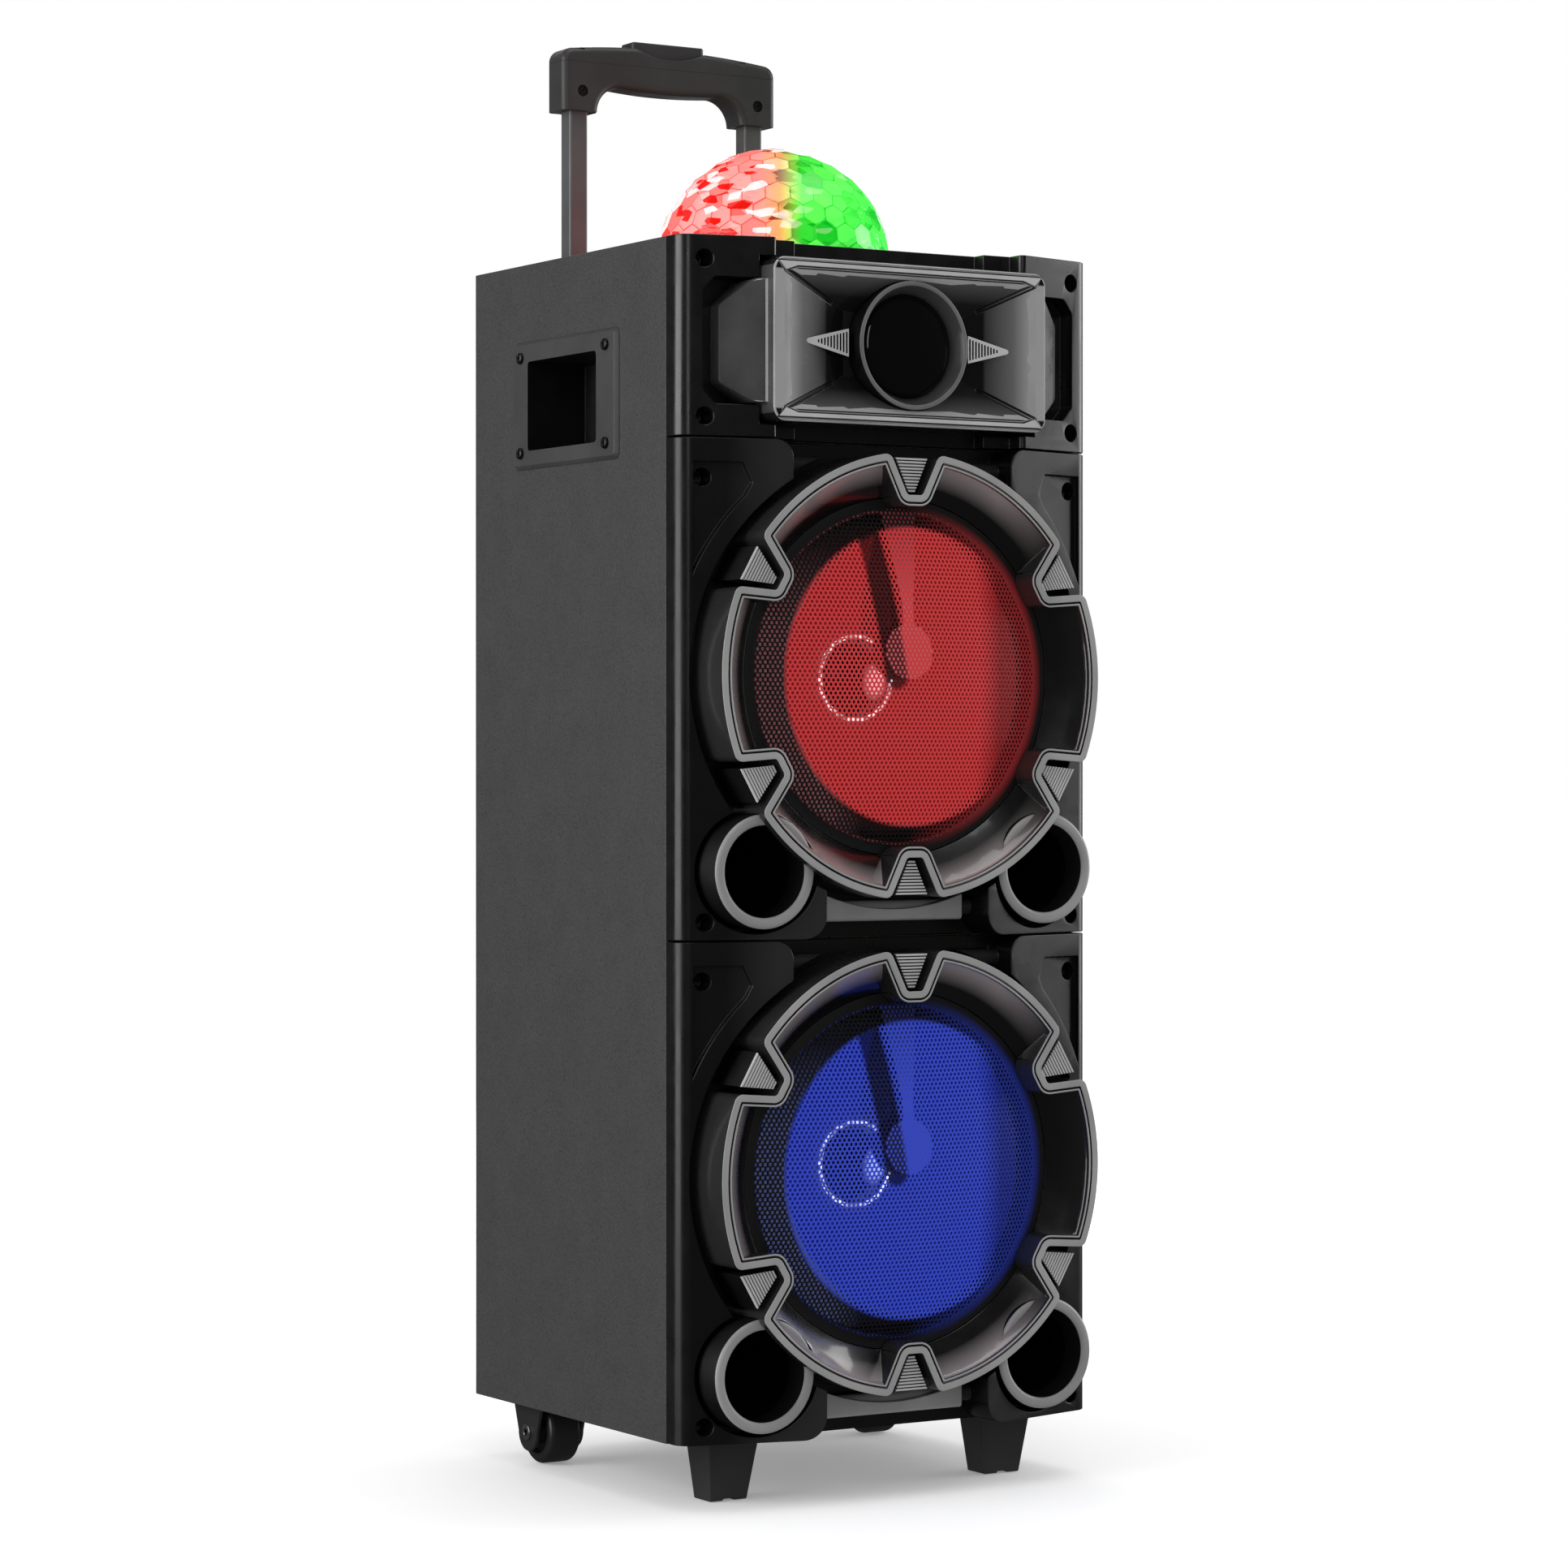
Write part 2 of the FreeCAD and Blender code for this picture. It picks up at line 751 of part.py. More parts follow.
def lamp_arm(deck):
    """Moulded ring behind the grille's rim, with a deep arm that carries a round lamp head.

    The lamps sit on the back of the head and shine onto the cone."""
    z = deck + bezel_height_in_deck
    ring_back = -18.0
    arm_back = -25.0
    head_radius = 18.4
    head_rise = 16.3
    neck_half = 4.4
    neck_rise = 48.0
    root_half = 14.0
    sheet_clearance = 0.4
    cap_radius = grille_radius - grille_flange
    ring = pipe(grille_radius, 108.5, (0, grille_rim_y + grille_sheet, z), (0, ring_back, z))
    head = rod(head_radius, (0, -60.0, z + head_rise), (0, arm_back, z + head_rise))
    stem = front_prism(
        [
            (-neck_half, z + head_rise),
            (neck_half, z + head_rise),
            (neck_half, z + neck_rise),
            (root_half, z + 110.0),
            (-root_half, z + 110.0),
            (-neck_half, z + neck_rise),
        ],
        -60.0,
        arm_back,
    )
    arm = join([head, stem])
    behind_sheet = [
        (r, y + grille_sheet + sheet_clearance)
        for r, y in dome_profile(cap_radius, grille_rim_y, grille_apex_y, 14)
    ]
    room = revolve_about_y(behind_sheet + [(cap_radius, arm_back), (0.0, arm_back)], z)
    parts = [ring, arm.common(room)]
    lamp_count = 3
    for index in range(lamp_count):
        angle = 2 * math.pi * index / lamp_count + math.pi / 2
        x = 10.0 * math.cos(angle)
        lamp_z = z + head_rise + 10.0 * math.sin(angle)
        parts.append(rod(2.6, (x, arm_back, lamp_z), (x, arm_back + 1.8, lamp_z)))
    return join(parts)


def woofer_basket(deck):
    """Pressed frame: flange ring, clamping ring, six legs and the seat for the magnet."""
    z = deck + bezel_height_in_deck
    flange = pipe(basket_flange, 107.0, (0, -flange_front, z), (0, -deck_slab, z))
    clamp = pipe(grille_radius, 107.0, (0, -18.0, z), (0, -flange_front, z))
    seat = pipe(62.0, 31.0, (0, 56.0, z), (0, 60.0, z))
    wall = revolve_about_y(
        [
            (111.0, -deck_slab),
            (113.5, -deck_slab),
            (113.5, 6.0),
            (62.0, 60.0),
            (62.0, 56.0),
            (111.0, 4.5),
        ],
        z,
    )
    windows = []
    leg_count = 6
    for index in range(leg_count):
        window = front_prism(
            [(-26.0, z + 66.0), (26.0, z + 66.0), (46.0, z + 106.0), (-46.0, z + 106.0)],
            5.0,
            70.0,
        )
        windows.append(turned_about_y(window, 360.0 / leg_count * (index + 0.5), z))
    wall = remove(wall, windows)
    return join([flange, clamp, wall, seat])


def woofer_magnet(deck):
    """Top plate, ferrite ring, back plate and pole piece, with the gap for the voice coil."""
    z = deck + bezel_height_in_deck
    top_plate = pipe(55.0, 27.2, (0, 60.0, z), (0, 66.0, z))
    ferrite = pipe(62.0, 32.0, (0, 66.0, z), (0, 86.0, z))
    back_plate = rod(55.0, (0, 86.0, z), (0, 92.0, z))
    pole = rod(24.0, (0, 60.0, z), (0, 86.0, z))
    back = join([back_plate, pole])
    return solids([top_plate, ferrite, back])


def woofer_cone(deck):
    """Cone with its half-roll surround, dust cap and voice coil former, moving together."""
    z = deck + bezel_height_in_deck
    roll = []
    roll_inner = 93.0
    roll_outer = 106.6
    roll_steps = 8
    roll_radius = (roll_outer - roll_inner) / 2
    for index in range(roll_steps + 1):
        angle = math.pi * index / roll_steps
        roll.append(
            (
                roll_inner + roll_radius * (1 - math.cos(angle)),
                -9.0 - 0.85 * roll_radius * math.sin(angle),
            )
        )
    profile = [(26.0, 27.0)] + roll + [(roll_outer, -7.5), (roll_inner, -7.5), (26.0, 29.0)]
    cone_sheet = revolve_about_y(profile, z)
    cap_profile = dome_profile(26.5, 26.6, 17.0, 8)
    cap_back = [(r, y + 1.0) for r, y in cap_profile]
    cap = revolve_about_y(cap_profile + list(reversed(cap_back)), z)
    former = pipe(26.5, 25.0, (0, 27.0, z), (0, 74.0, z))
    return join([cone_sheet, cap, former])


# --- Ports ----------------------------------------------------------------------------------
port_back = 96.0


def port_tubes(deck):
    z = deck + port_height_in_deck
    tube = rod(port_tube_outer, (port_x, -deck_slab, z), (port_x, port_back, z))
    collar = rod(port_outer, (port_x, -port_front, z), (port_x, -deck_slab, z))
    tube = join([tube, collar])
    tube = soften(tube, 3.0, lambda edge: lies_at(edge, y=-port_front))
    bore = rod(port_inner, (port_x, -port_front, z), (port_x, port_back, z))
    tube = tube.cut(bore)
    tube = soften(
        tube,
        2.5,
        lambda edge: lies_at(edge, y=-port_front) and edge.BoundBox.XLength < 2 * port_inner + 1.0,
    )
    return solids(both_sides(tube))


# --- Carrying cups in the sides ---------------------------------------------------------------
def handle_cup_right():
    outside = half_width
    plate = box((outside, outside + cup_proud), cup_y, cup_z)
    plate = soften(plate, 5.0, lambda edge: is_parallel(edge, X_AXIS))
    rim = [edge for edge in plate.Edges if abs(edge.BoundBox.Center.x - outside - cup_proud) < 0.1]
    plate = plate.makeChamfer(cup_proud - 0.4, rim)
    shell = box(
        (outside - cup_depth - cup_wall, outside),
        (cup_mouth_y[0] - cup_wall, cup_mouth_y[1] + cup_wall),
        (cup_mouth_z[0] - cup_wall, cup_mouth_z[1] + cup_wall),
    )
    space = box((outside - cup_depth, outside + 10.0), cup_mouth_y, cup_mouth_z)
    space = soften(space, 3.0, lambda edge: is_parallel(edge, X_AXIS))
    holes = [
        rod(screw_hole, (outside - 1.0, y, z), (outside + 10.0, y, z)) for y, z in cup_screw_places()
    ]
    return remove(join([plate, shell]), [space] + holes)


# --- Rotating light dome ----------------------------------------------------------------------
collar_radius = 88.0
collar_height = 5.0
dome_wall = 3.0
spindle_radius = 2.5
spindle_fit = 0.05
spider_z = (cabinet_top + 8.0, cabinet_top + 11.0)


def dome_collar():
    ring = pipe(
        collar_radius,
        dome_radius + 1.0,
        (0, dome_y, cabinet_top),
        (0, dome_y, cabinet_top + collar_height),
    )
    top = cabinet_top + collar_height
    outer_width = 2 * collar_radius - 1
    return soften(ring, 1.5, lambda edge: lies_at(edge, z=top) and edge.BoundBox.XLength > outer_width)


def dome_ball(radius):
    ball = Part.makeSphere(radius, vector(0, dome_y, dome_z))
    upper = box((-100, 100), (dome_y - 100, dome_y + 100), (dome_z, dome_z + 100))
    return ball.common(upper)


def light_dome():
    return dome_ball(dome_radius).cut(dome_ball(dome_radius - dome_wall))


def dome_spider():
    """Rim ring, three arms, hub and spindle that turn the dome."""
    low, high = spider_z
    ring = pipe(dome_radius, 72.0, (0, dome_y, low), (0, dome_y, high))
    parts = [ring, rod(8.0, (0, dome_y, low), (0, dome_y, high))]
    arm_count = 3
    for index in range(arm_count):
        arm = box((0, 74.0), (dome_y - 3.0, dome_y + 3.0), (low, high))
        arm.rotate(vector(0, dome_y, 0), Z_AXIS, 360.0 / arm_count * index + 30.0)
        parts.append(arm)
    parts.append(rod(spindle_radius, (0, dome_y, cabinet_top - 36.0), (0, dome_y, low)))
    return join(parts).common(
        dome_ball(dome_radius - dome_wall).fuse(
            rod(spindle_radius, (0, dome_y, cabinet_top - 36.0), (0, dome_y, dome_z))
        )
    )


def lamp_board():
    """Round circuit board on the roof with a ring of high-power lamps."""
    base = cabinet_top
    disc = rod(66.0, (0, dome_y, base), (0, dome_y, base + 1.6))
    parts = [disc]
    lamp_count = 6
    for index in range(lamp_count):
        angle = 2 * math.pi * index / lamp_count
        x = 42.0 * math.cos(angle)
        y = dome_y + 42.0 * math.sin(angle)
        parts.append(rod(4.5, (x, y, base + 1.6), (x, y, base + 3.6)))
        parts.append(cone(3.8, 2.2, (x, y, base + 3.6), (x, y, base + 5.6)))
    hole = rod(4.0, (0, dome_y, base), (0, dome_y, base + 1.6))
    return join(parts).cut(hole)


def dome_motor():
    top = cabinet_top - board
    body = rod(18.0, (0, dome_y, top - 26.0), (0, dome_y, top))
    flange = box((-28, 28), (dome_y - 12, dome_y + 12), (top - 2.5, top))
    bore = rod(spindle_radius + spindle_fit, (0, dome_y, top - 26.0), (0, dome_y, top))
    return join([body, flange]).cut(bore)


# --- Rear amplifier panel ---------------------------------------------------------------------
panel_screw_inset = 4.8
knob_z = cabinet_bottom + 690.0
knob_x = 24.0
knob_radius = 10.0
button_z = cabinet_bottom + 655.0
button_x = 14.0
button_radius = 5.0
jack_z = cabinet_bottom + 615.0
jack_x = 22.0
rocker_z = cabinet_bottom + 480.0
rocker_x = 26.0
rocker_radius = 10.0
inlet_z = rocker_z
inlet_x = -22.0
usb_z = cabinet_bottom + 575.0
shaft_radius = 3.0
running_gap = 0.05


def panel_screw_places():
    x = panel_x - panel_screw_inset
    heights = (panel_z[0] + panel_screw_inset, panel_z[1] - panel_screw_inset)
    return [(side * x, z) for side in (-1, 1) for z in heights]


def amp_panel():
    front = back_y
    back = back_y + panel_thickness
    plate = box((-panel_x, panel_x), (front, back), panel_z)
    plate = soften(plate, 4.0, lambda edge: is_parallel(edge, Y_AXIS))
    cuts = [rod(screw_hole, (x, front, z), (x, back, z)) for x, z in panel_screw_places()]
    for side in (-1, 1):
        x = side * knob_x
        cuts.append(rod(shaft_radius + running_gap, (x, front, knob_z), (x, back, knob_z)))
        x = side * button_x
        cuts.append(rod(button_radius + 0.3, (x, front, button_z), (x, back, button_z)))
        cuts.append(rod(8.0, (side * jack_x, front, jack_z), (side * jack_x, back, jack_z)))
    cuts.append(box((rocker_x - 6.5, rocker_x + 6.5), (front, back), (rocker_z - 10.5, rocker_z + 10.5)))
    cuts.append(box((inlet_x - 12.0, inlet_x + 12.0), (front, back), (inlet_z - 8.0, inlet_z + 8.0)))
    cuts.append(box((-7.5, 7.5), (front, back), (usb_z - 4.0, usb_z + 4.0)))
    return remove(plate, cuts)


def knob(x):
    outer = back_y + panel_thickness + 1.0
    cap = rod(knob_radius, (x, outer, knob_z), (x, outer + 13.0, knob_z))
    cap = soften(cap, 1.5, lambda edge: lies_at(edge, y=outer + 13.0))
    flutes = []
    flute_count = 16
    for index in range(flute_count):
        angle = 2 * math.pi * index / flute_count
        fx = x + (knob_radius + 0.4) * math.cos(angle)
        fz = knob_z + (knob_radius + 0.4) * math.sin(angle)
        flutes.append(rod(1.1, (fx, outer + 2.0, fz), (fx, outer + 14.0, fz)))
    pointer = box((x - 0.7, x + 0.7), (outer + 12.2, outer + 13.0), (knob_z + 2.0, knob_z + 9.0))
    shaft = rod(shaft_radius, (x, back_y - 9.0, knob_z), (x, outer, knob_z))
    return join([remove(cap, flutes + [pointer]), shaft])


def push_button(x):
    outer = back_y + panel_thickness
    cap = rod(button_radius, (x, back_y - 4.0, button_z), (x, outer + 3.0, button_z))
    cap = soften(cap, 0.8, lambda edge: lies_at(edge, y=outer + 3.0))
    stop = rod(button_radius + 1.5, (x, back_y - 4.0, button_z), (x, back_y - 0.3, button_z))
    return join([cap, stop])


def rocker_axis_y():
    return back_y - 4.0


def power_rocker():
    """A short drum cut to a shallow roof, so that it tilts inside its own round."""
    y = rocker_axis_y()
    drum = rod(rocker_radius, (rocker_x - 6.0, y, rocker_z), (rocker_x + 6.0, y, rocker_z))
    roof = prism(
        [
            (rocker_x - 7.0, y + 9.0, rocker_z + 12.0),
            (rocker_x - 7.0, y + 7.2, rocker_z),
            (rocker_x - 7.0, y + 10.5, rocker_z - 12.0),
            (rocker_x - 7.0, y + 14.0, rocker_z - 12.0),
            (rocker_x - 7.0, y + 14.0, rocker_z + 12.0),
        ],
        (14.0, 0, 0),
    )
    rear = box((rocker_x - 7.0, rocker_x + 7.0), (y - 12.0, y - 3.0), (rocker_z - 12.0, rocker_z + 12.0))
    pin = rod(1.5, (rocker_x - 8.0, y, rocker_z), (rocker_x + 8.0, y, rocker_z))
    return join([remove(drum, [roof, rear]), pin])


def panel_sockets():
    """Two jack sockets, the memory-stick socket and the rocker's housing."""
    outer = back_y + panel_thickness
    parts = []
    for side in (-1, 1):
        x = side * jack_x
        nut = pipe(8.0, 3.3, (x, back_y, jack_z), (x, outer + 2.0, jack_z))
        body = box((x - 9.0, x + 9.0), (back_y - 24.0, back_y), (jack_z - 9.0, jack_z + 9.0))
        parts.append(join([nut, body]).cut(rod(3.3, (x, back_y - 20.0, jack_z), (x, outer + 2.0, jack_z))))
    usb = box((-9.0, 9.0), (back_y - 16.0, back_y), (usb_z - 5.5, usb_z + 5.5))
    usb_mouth = box((-7.5, 7.5), (back_y - 16.0, outer), (usb_z - 4.0, usb_z + 4.0))
    usb_slot = box((-6.3, 6.3), (back_y - 14.0, outer), (usb_z - 2.3, usb_z + 2.3))
    parts.append(join([usb, usb_mouth]).cut(usb_slot))
    y = rocker_axis_y()
    housing = box((rocker_x - 9.5, rocker_x + 9.5), (y - 16.0, back_y), (rocker_z - 13.0, rocker_z + 13.0))
    room = box((rocker_x - 6.5, rocker_x + 6.5), (y - 13.0, back_y), (rocker_z - 10.5, rocker_z + 10.5))
    pin_hole = rod(1.5 + running_gap, (rocker_x - 8.5, y, rocker_z), (rocker_x + 8.5, y, rocker_z))
    parts.append(remove(housing, [room, pin_hole]))
    return solids(parts)


def mains_inlet():
    """Two-pin mains inlet."""
    outer = back_y + panel_thickness
    body = box((inlet_x - 12.0, inlet_x + 12.0), (back_y - 20.0, outer), (inlet_z - 8.0, inlet_z + 8.0))
    lip = box((inlet_x - 14.0, inlet_x + 14.0), (outer, outer + 1.6), (inlet_z - 10.0, inlet_z + 10.0))
    well = box((inlet_x - 9.0, inlet_x + 9.0), (back_y - 14.0, outer + 2.0), (inlet_z - 5.0, inlet_z + 5.0))
    well = soften(well, 3.0, lambda edge: is_parallel(edge, Y_AXIS))
    pins = [
        rod(1.2, (inlet_x + dx, back_y - 16.0, inlet_z), (inlet_x + dx, back_y - 3.0, inlet_z))
        for dx in (-4.3, 4.3)
    ]
    return join([join([body, lip]).cut(well)] + pins)


def amp_board():
    """Amplifier circuit board with heat sink and transformer, on standoffs behind the panel."""
    front = back_y - 62.0
    card = box((-44, 44), (front, front + 1.6), (panel_z[0] + 20.0, panel_z[1] - 20.0))
    sink = [card]
    fin_count = 7
    for index in range(fin_count):
        x = -30.0 + index * 10.0
        sink.append(box((x, x + 2.0), (front - 22.0, front - 4.0), (panel_z[0] + 140.0, panel_z[0] + 230.0)))
    sink.append(box((-32, 34), (front - 4.0, front), (panel_z[0] + 140.0, panel_z[0] + 230.0)))
    transformer = box((-28, 28), (front + 1.6, front + 34.0), (panel_z[0] + 90.0, panel_z[0] + 135.0))
    posts = [
        rod(3.0, (x, front + 1.6, z), (x, back_y, z))
        for x in (-40.0, 40.0)
        for z in (panel_z[0] + 26.0, panel_z[1] - 60.0)
    ]
    return join(sink + [transformer] + posts)


def battery_pack():
    floor = cabinet_bottom + board
    pack = box((-75, 75), (150, 220), (floor, floor + 62.0))
    pack = soften(pack, 3.0, lambda edge: is_parallel(edge, Z_AXIS))
    strap = box((-78, 78), (175, 195), (floor, floor + 64.0)).cut(pack)
    return solids([pack, strap])


# --- Trolley handle -----------------------------------------------------------------------------
sleeve_outer = 19.0
sleeve_inner = 15.4
tube_outer = 14.6
tube_inner = 12.2
sleeve_z = (cabinet_bottom + 458.0, cabinet_bottom + 776.0)
tube_z = (cabinet_bottom + 600.0, cabinet_bottom + 922.0)
leg_bottom = cabinet_bottom + 902.5
bracket_top_z = (cabinet_bottom + 757.0, cabinet_bottom + 776.0)
bracket_low_z = (cabinet_bottom + 458.0, cabinet_bottom + 478.0)
grip_half = 87.5
leg_inner = 59.0
grip_under = cabinet_bottom + 921.0
grip_top = cabinet_bottom + grip_top_in_cabinet
grip_end_top = grip_top - 4.5
grip_belly = 1.8
cover_seam = cabinet_bottom + 937.0
button_half = 29.5


def square_tube(outer, inner, x, z):
    def column(size, corner):
        half = size / 2
        block = box((x - half, x + half), (tube_y - half, tube_y + half), z)
        return soften(block, corner, lambda edge: is_parallel(edge, Z_AXIS))

    return column(outer, 2.2).cut(column(inner, 1.2))


def trolley_sleeves():
    return solids(both_sides(square_tube(sleeve_outer, sleeve_inner, tube_x, sleeve_z)))


def trolley_screw_places():
    places = ((40.0, bracket_top_z[0] + 7.0), (88.0, bracket_low_z[0] + 10.0))
    return [(side * x, z) for side in (-1, 1) for x, z in places]


def trolley_brackets():
    """Cross bracket at the top and a short one round the foot of each sleeve."""
    top = box((-92, 92), (back_y, tube_y + 11.5), bracket_top_z)
    top = soften(top, 4.0, lambda edge: is_parallel(edge, Z_AXIS) and edge.BoundBox.Center.y > back_y + 1)
    cuts = []
    half = sleeve_outer / 2
    for side in (-1, 1):
        x = side * tube_x
        cuts.append(box((x - half, x + half), (tube_y - half, tube_y + half), (0, 2000)))
    tops = remove(top, cuts)
    foot = box((tube_x - 13.0, 98.0), (back_y, tube_y + 11.5), bracket_low_z)
    foot = soften(foot, 4.0, lambda edge: is_parallel(edge, Z_AXIS) and edge.BoundBox.Center.y > back_y + 1)
    foot = remove(foot, cuts)
    relief = box((82.5, 99.0), (back_y + 4.0, 400.0), (0, 2000))
    foot = foot.cut(relief)
    pieces = []
    for shape in [tops] + both_sides(foot):
        for x, z in trolley_screw_places():
            shape = shape.cut(rod(screw_hole, (x, back_y, z), (x, back_y + 30.0, z)))
        pieces.append(shape)
    top_relief = [box((side * 40 - 6, side * 40 + 6), (back_y + 4, 400), (0, 2000)) for side in (-1, 1)]
    pieces[0] = remove(pieces[0], top_relief)
    return solids(pieces)


def trolley_tubes():
    return solids(both_sides(square_tube(tube_outer, tube_inner, tube_x, tube_z)))


def grip_outline_face(y):
    """Front view of the whole grip: two legs, an arched underside with a belly, and a crowned top."""
    corner = 9.0
    arch = 19.0
    crown_half = grip_half - corner
    crown_rise = grip_top - grip_end_top
    crown_radius = (crown_half**2 + crown_rise**2) / (2 * crown_rise)
    crown_z = grip_top - crown_radius
    corner_z = crown_z + math.sqrt((crown_radius - corner) ** 2 - crown_half**2)
    lean = math.atan2(crown_half, corner_z - crown_z)
    middle = (lean + math.pi / 2) / 2
    cos45 = math.cos(math.pi / 4)

    def point(x, z):
        return vector(x, y, z)

    def on_corner(side, angle):
        return point(side * (crown_half + corner * math.sin(angle)), corner_z + corner * math.cos(angle))

    def arc(start, through, end):
        return Part.Arc(start, through, end).toShape()

    def line(start, end):
        return Part.makeLine(start, end)

    edges = [
        line(point(-grip_half, leg_bottom), point(-grip_half, corner_z)),
        arc(point(-grip_half, corner_z), on_corner(-1, middle), on_corner(-1, lean)),
        arc(on_corner(-1, lean), point(0, grip_top), on_corner(1, lean)),
        arc(on_corner(1, lean), on_corner(1, middle), point(grip_half, corner_z)),
        line(point(grip_half, corner_z), point(grip_half, leg_bottom)),
        line(point(grip_half, leg_bottom), point(leg_inner, leg_bottom)),
        line(point(leg_inner, leg_bottom), point(leg_inner, grip_under - arch)),
        arc(
            point(leg_inner, grip_under - arch),
            point(leg_inner - arch * (1 - cos45), grip_under - arch * (1 - cos45)),
            point(leg_inner - arch, grip_under),
        ),
        arc(
            point(leg_inner - arch, grip_under),
            point(0, grip_under - grip_belly),
            point(-leg_inner + arch, grip_under),
        ),
        arc(
            point(-leg_inner + arch, grip_under),
            point(-leg_inner + arch * (1 - cos45), grip_under - arch * (1 - cos45)),
            point(-leg_inner, grip_under - arch),
        ),
        line(point(-leg_inner, grip_under - arch), point(-leg_inner, leg_bottom)),
        line(point(-leg_inner, leg_bottom), point(-grip_half, leg_bottom)),
    ]
    return Part.Face(Part.Wire(edges))


def whole_grip():
    front = tube_y - grip_depth / 2
    body = grip_outline_face(front).extrude(vector(0, grip_depth, 0))

    def on_front_or_back(edge):
        box_y = edge.BoundBox
        flat = box_y.YLength < 0.01
        return flat and box_y.ZMax > leg_bottom + 1.0

    return soften(body, 5.0, on_front_or_back)


def grip_screw_places():
    return [(side * tube_x, cabinet_bottom + 916.5) for side in (-1, 1)]


def trolley_grip():
    lower = whole_grip().common(box((-100, 100), (200, 400), (0, cover_seam)))
    cuts = []
    half = tube_outer / 2
    for side in (-1, 1):
        x = side * tube_x
        cuts.append(box((x - half, x + half), (tube_y - half, tube_y + half), (0, tube_z[1])))
    for x, z in grip_screw_places():
        cuts.append(rod(screw_head + 0.2, (x, 0, z), (x, tube_y - grip_depth / 2 + 2.6, z)))
        cuts.append(rod(screw_hole, (x, 0, z), (x, tube_y - half, z)))
    stem_room = button_half - 2
    cuts.append(box((-stem_room, stem_room), (tube_y - 7.5, tube_y + 7.5), (cover_seam - 5.0, 2000)))
    return remove(lower, cuts)


def grip_cover():
    upper = whole_grip().common(box((-100, 100), (200, 400), (cover_seam, 2000)))
    half = button_half + 0.5
    well = box((-half, half), (tube_y - 10.0, tube_y + 10.0), (cover_seam, 2000))
    dip_depth = 8.0
    dip_radius = (half**2 + dip_depth**2) / (2 * dip_depth)
    dip_z = grip_top - dip_depth + dip_radius
    dip = rod(dip_radius, (0, 200.0, dip_z), (0, 400.0, dip_z))
    return remove(upper, [well, dip])


def grip_button():
    top = grip_top + 3.9
    cap = box((-button_half, button_half), (tube_y - 9.5, tube_y + 9.5), (cover_seam + 4.6, top))
    cap = soften(cap, 3.0, lambda edge: is_parallel(edge, Z_AXIS))
    cap = soften(cap, 1.2, lambda edge: lies_at(edge, z=top))
    stem = box((-20, 20), (tube_y - 6.5, tube_y + 6.5), (cover_seam, cover_seam + 4.6))
    return join([cap, stem])


def grip_screws():
    front = tube_y - grip_depth / 2
    half = tube_outer / 2
    screws = []
    for x, z in grip_screw_places():
        head = rod(screw_head, (x, front + 0.4, z), (x, front + 2.6, z))
        shank = rod(screw_shank, (x, front + 2.6, z), (x, tube_y - half, z))
        screws.append(cross_cut(join([head, shank]), (x, front + 0.4, z), Y_AXIS))
    return solids(screws)


# --- Feet and wheels ----------------------------------------------------------------------------
foot_top = ((88.0, 127.0), (2.0, 33.0))
foot_sole = ((93.7, 122.0), (8.4, 30.0))
wheel_x = (119.0, 143.0)
axle_radius = 4.0
bracket_y = (180.0, 238.0)
wheel_window_x = (116.0, 146.5)
wheel_window_y = (wheel_y - 16.5, wheel_y + 16.5)


def foot_screw_places():
    x = sum(foot_top[0]) / 2
    y = sum(foot_top[1]) / 2
    return [(x, y), (-x, y)]


def bracket_screw_places():
    return [(side * 131.0, y) for side in (-1, 1) for y in (bracket_y[0] + 6.0, bracket_y[1] - 6.0)]


def foot_wire(place, z):
    (x0, x1), (y0, y1) = place
    corners = [vector(x0, y0, z), vector(x1, y0, z), vector(x1, y1, z), vector(x0, y1, z)]
    return Part.makePolygon(corners + corners[:1])


def front_feet():
    foot = Part.makeLoft([foot_wire(foot_sole, 0.0), foot_wire(foot_top, cabinet_bottom)], True, True)
    foot = soften(foot, 1.6, lambda edge: edge.BoundBox.ZLength > 10)
    notch = box((104.0, 112.0), (0, 60), (0, 1.2))
    x = sum(foot_top[0]) / 2
    y = sum(foot_top[1]) / 2
    hole = rod(screw_hole, (x, y, 8.0), (x, y, cabinet_bottom))
    well = rod(5.0, (x, y, 0.0), (x, y, 20.0))
    return solids(both_sides(remove(foot, [notch, hole, well])))


def wheel_brackets():
    plate_z = cabinet_bottom - 2.5
    plate = box((113.0, 150.0), bracket_y, (plate_z, cabinet_bottom))
    cheeks = []
    cheek_round = 13.0
    cheek_top_half = 20.0
    for x0, x1 in ((113.0, 115.5), (147.5, 150.0)):
        outline = [
            (x0, wheel_y - cheek_top_half, cabinet_bottom),
            (x0, wheel_y - cheek_round, wheel_radius),
            (x0, wheel_y + cheek_round, wheel_radius),
            (x0, wheel_y + cheek_top_half, cabinet_bottom),
        ]
        sheet = prism(outline, (x1 - x0, 0, 0))
        sheet = sheet.fuse(rod(cheek_round, (x0, wheel_y, wheel_radius), (x1, wheel_y, wheel_radius)))
        cheeks.append(sheet)
    bracket = join([plate] + cheeks)
    cuts = [
        rod(axle_radius + 0.02, (100, wheel_y, wheel_radius), (160, wheel_y, wheel_radius)),
        box(wheel_window_x, wheel_window_y, (plate_z, cabinet_bottom)),
    ]
    for x, y in bracket_screw_places():
        if x > 0:
            cuts.append(rod(screw_hole, (x, y, plate_z), (x, y, cabinet_bottom)))
    return solids(both_sides(remove(bracket, cuts)))


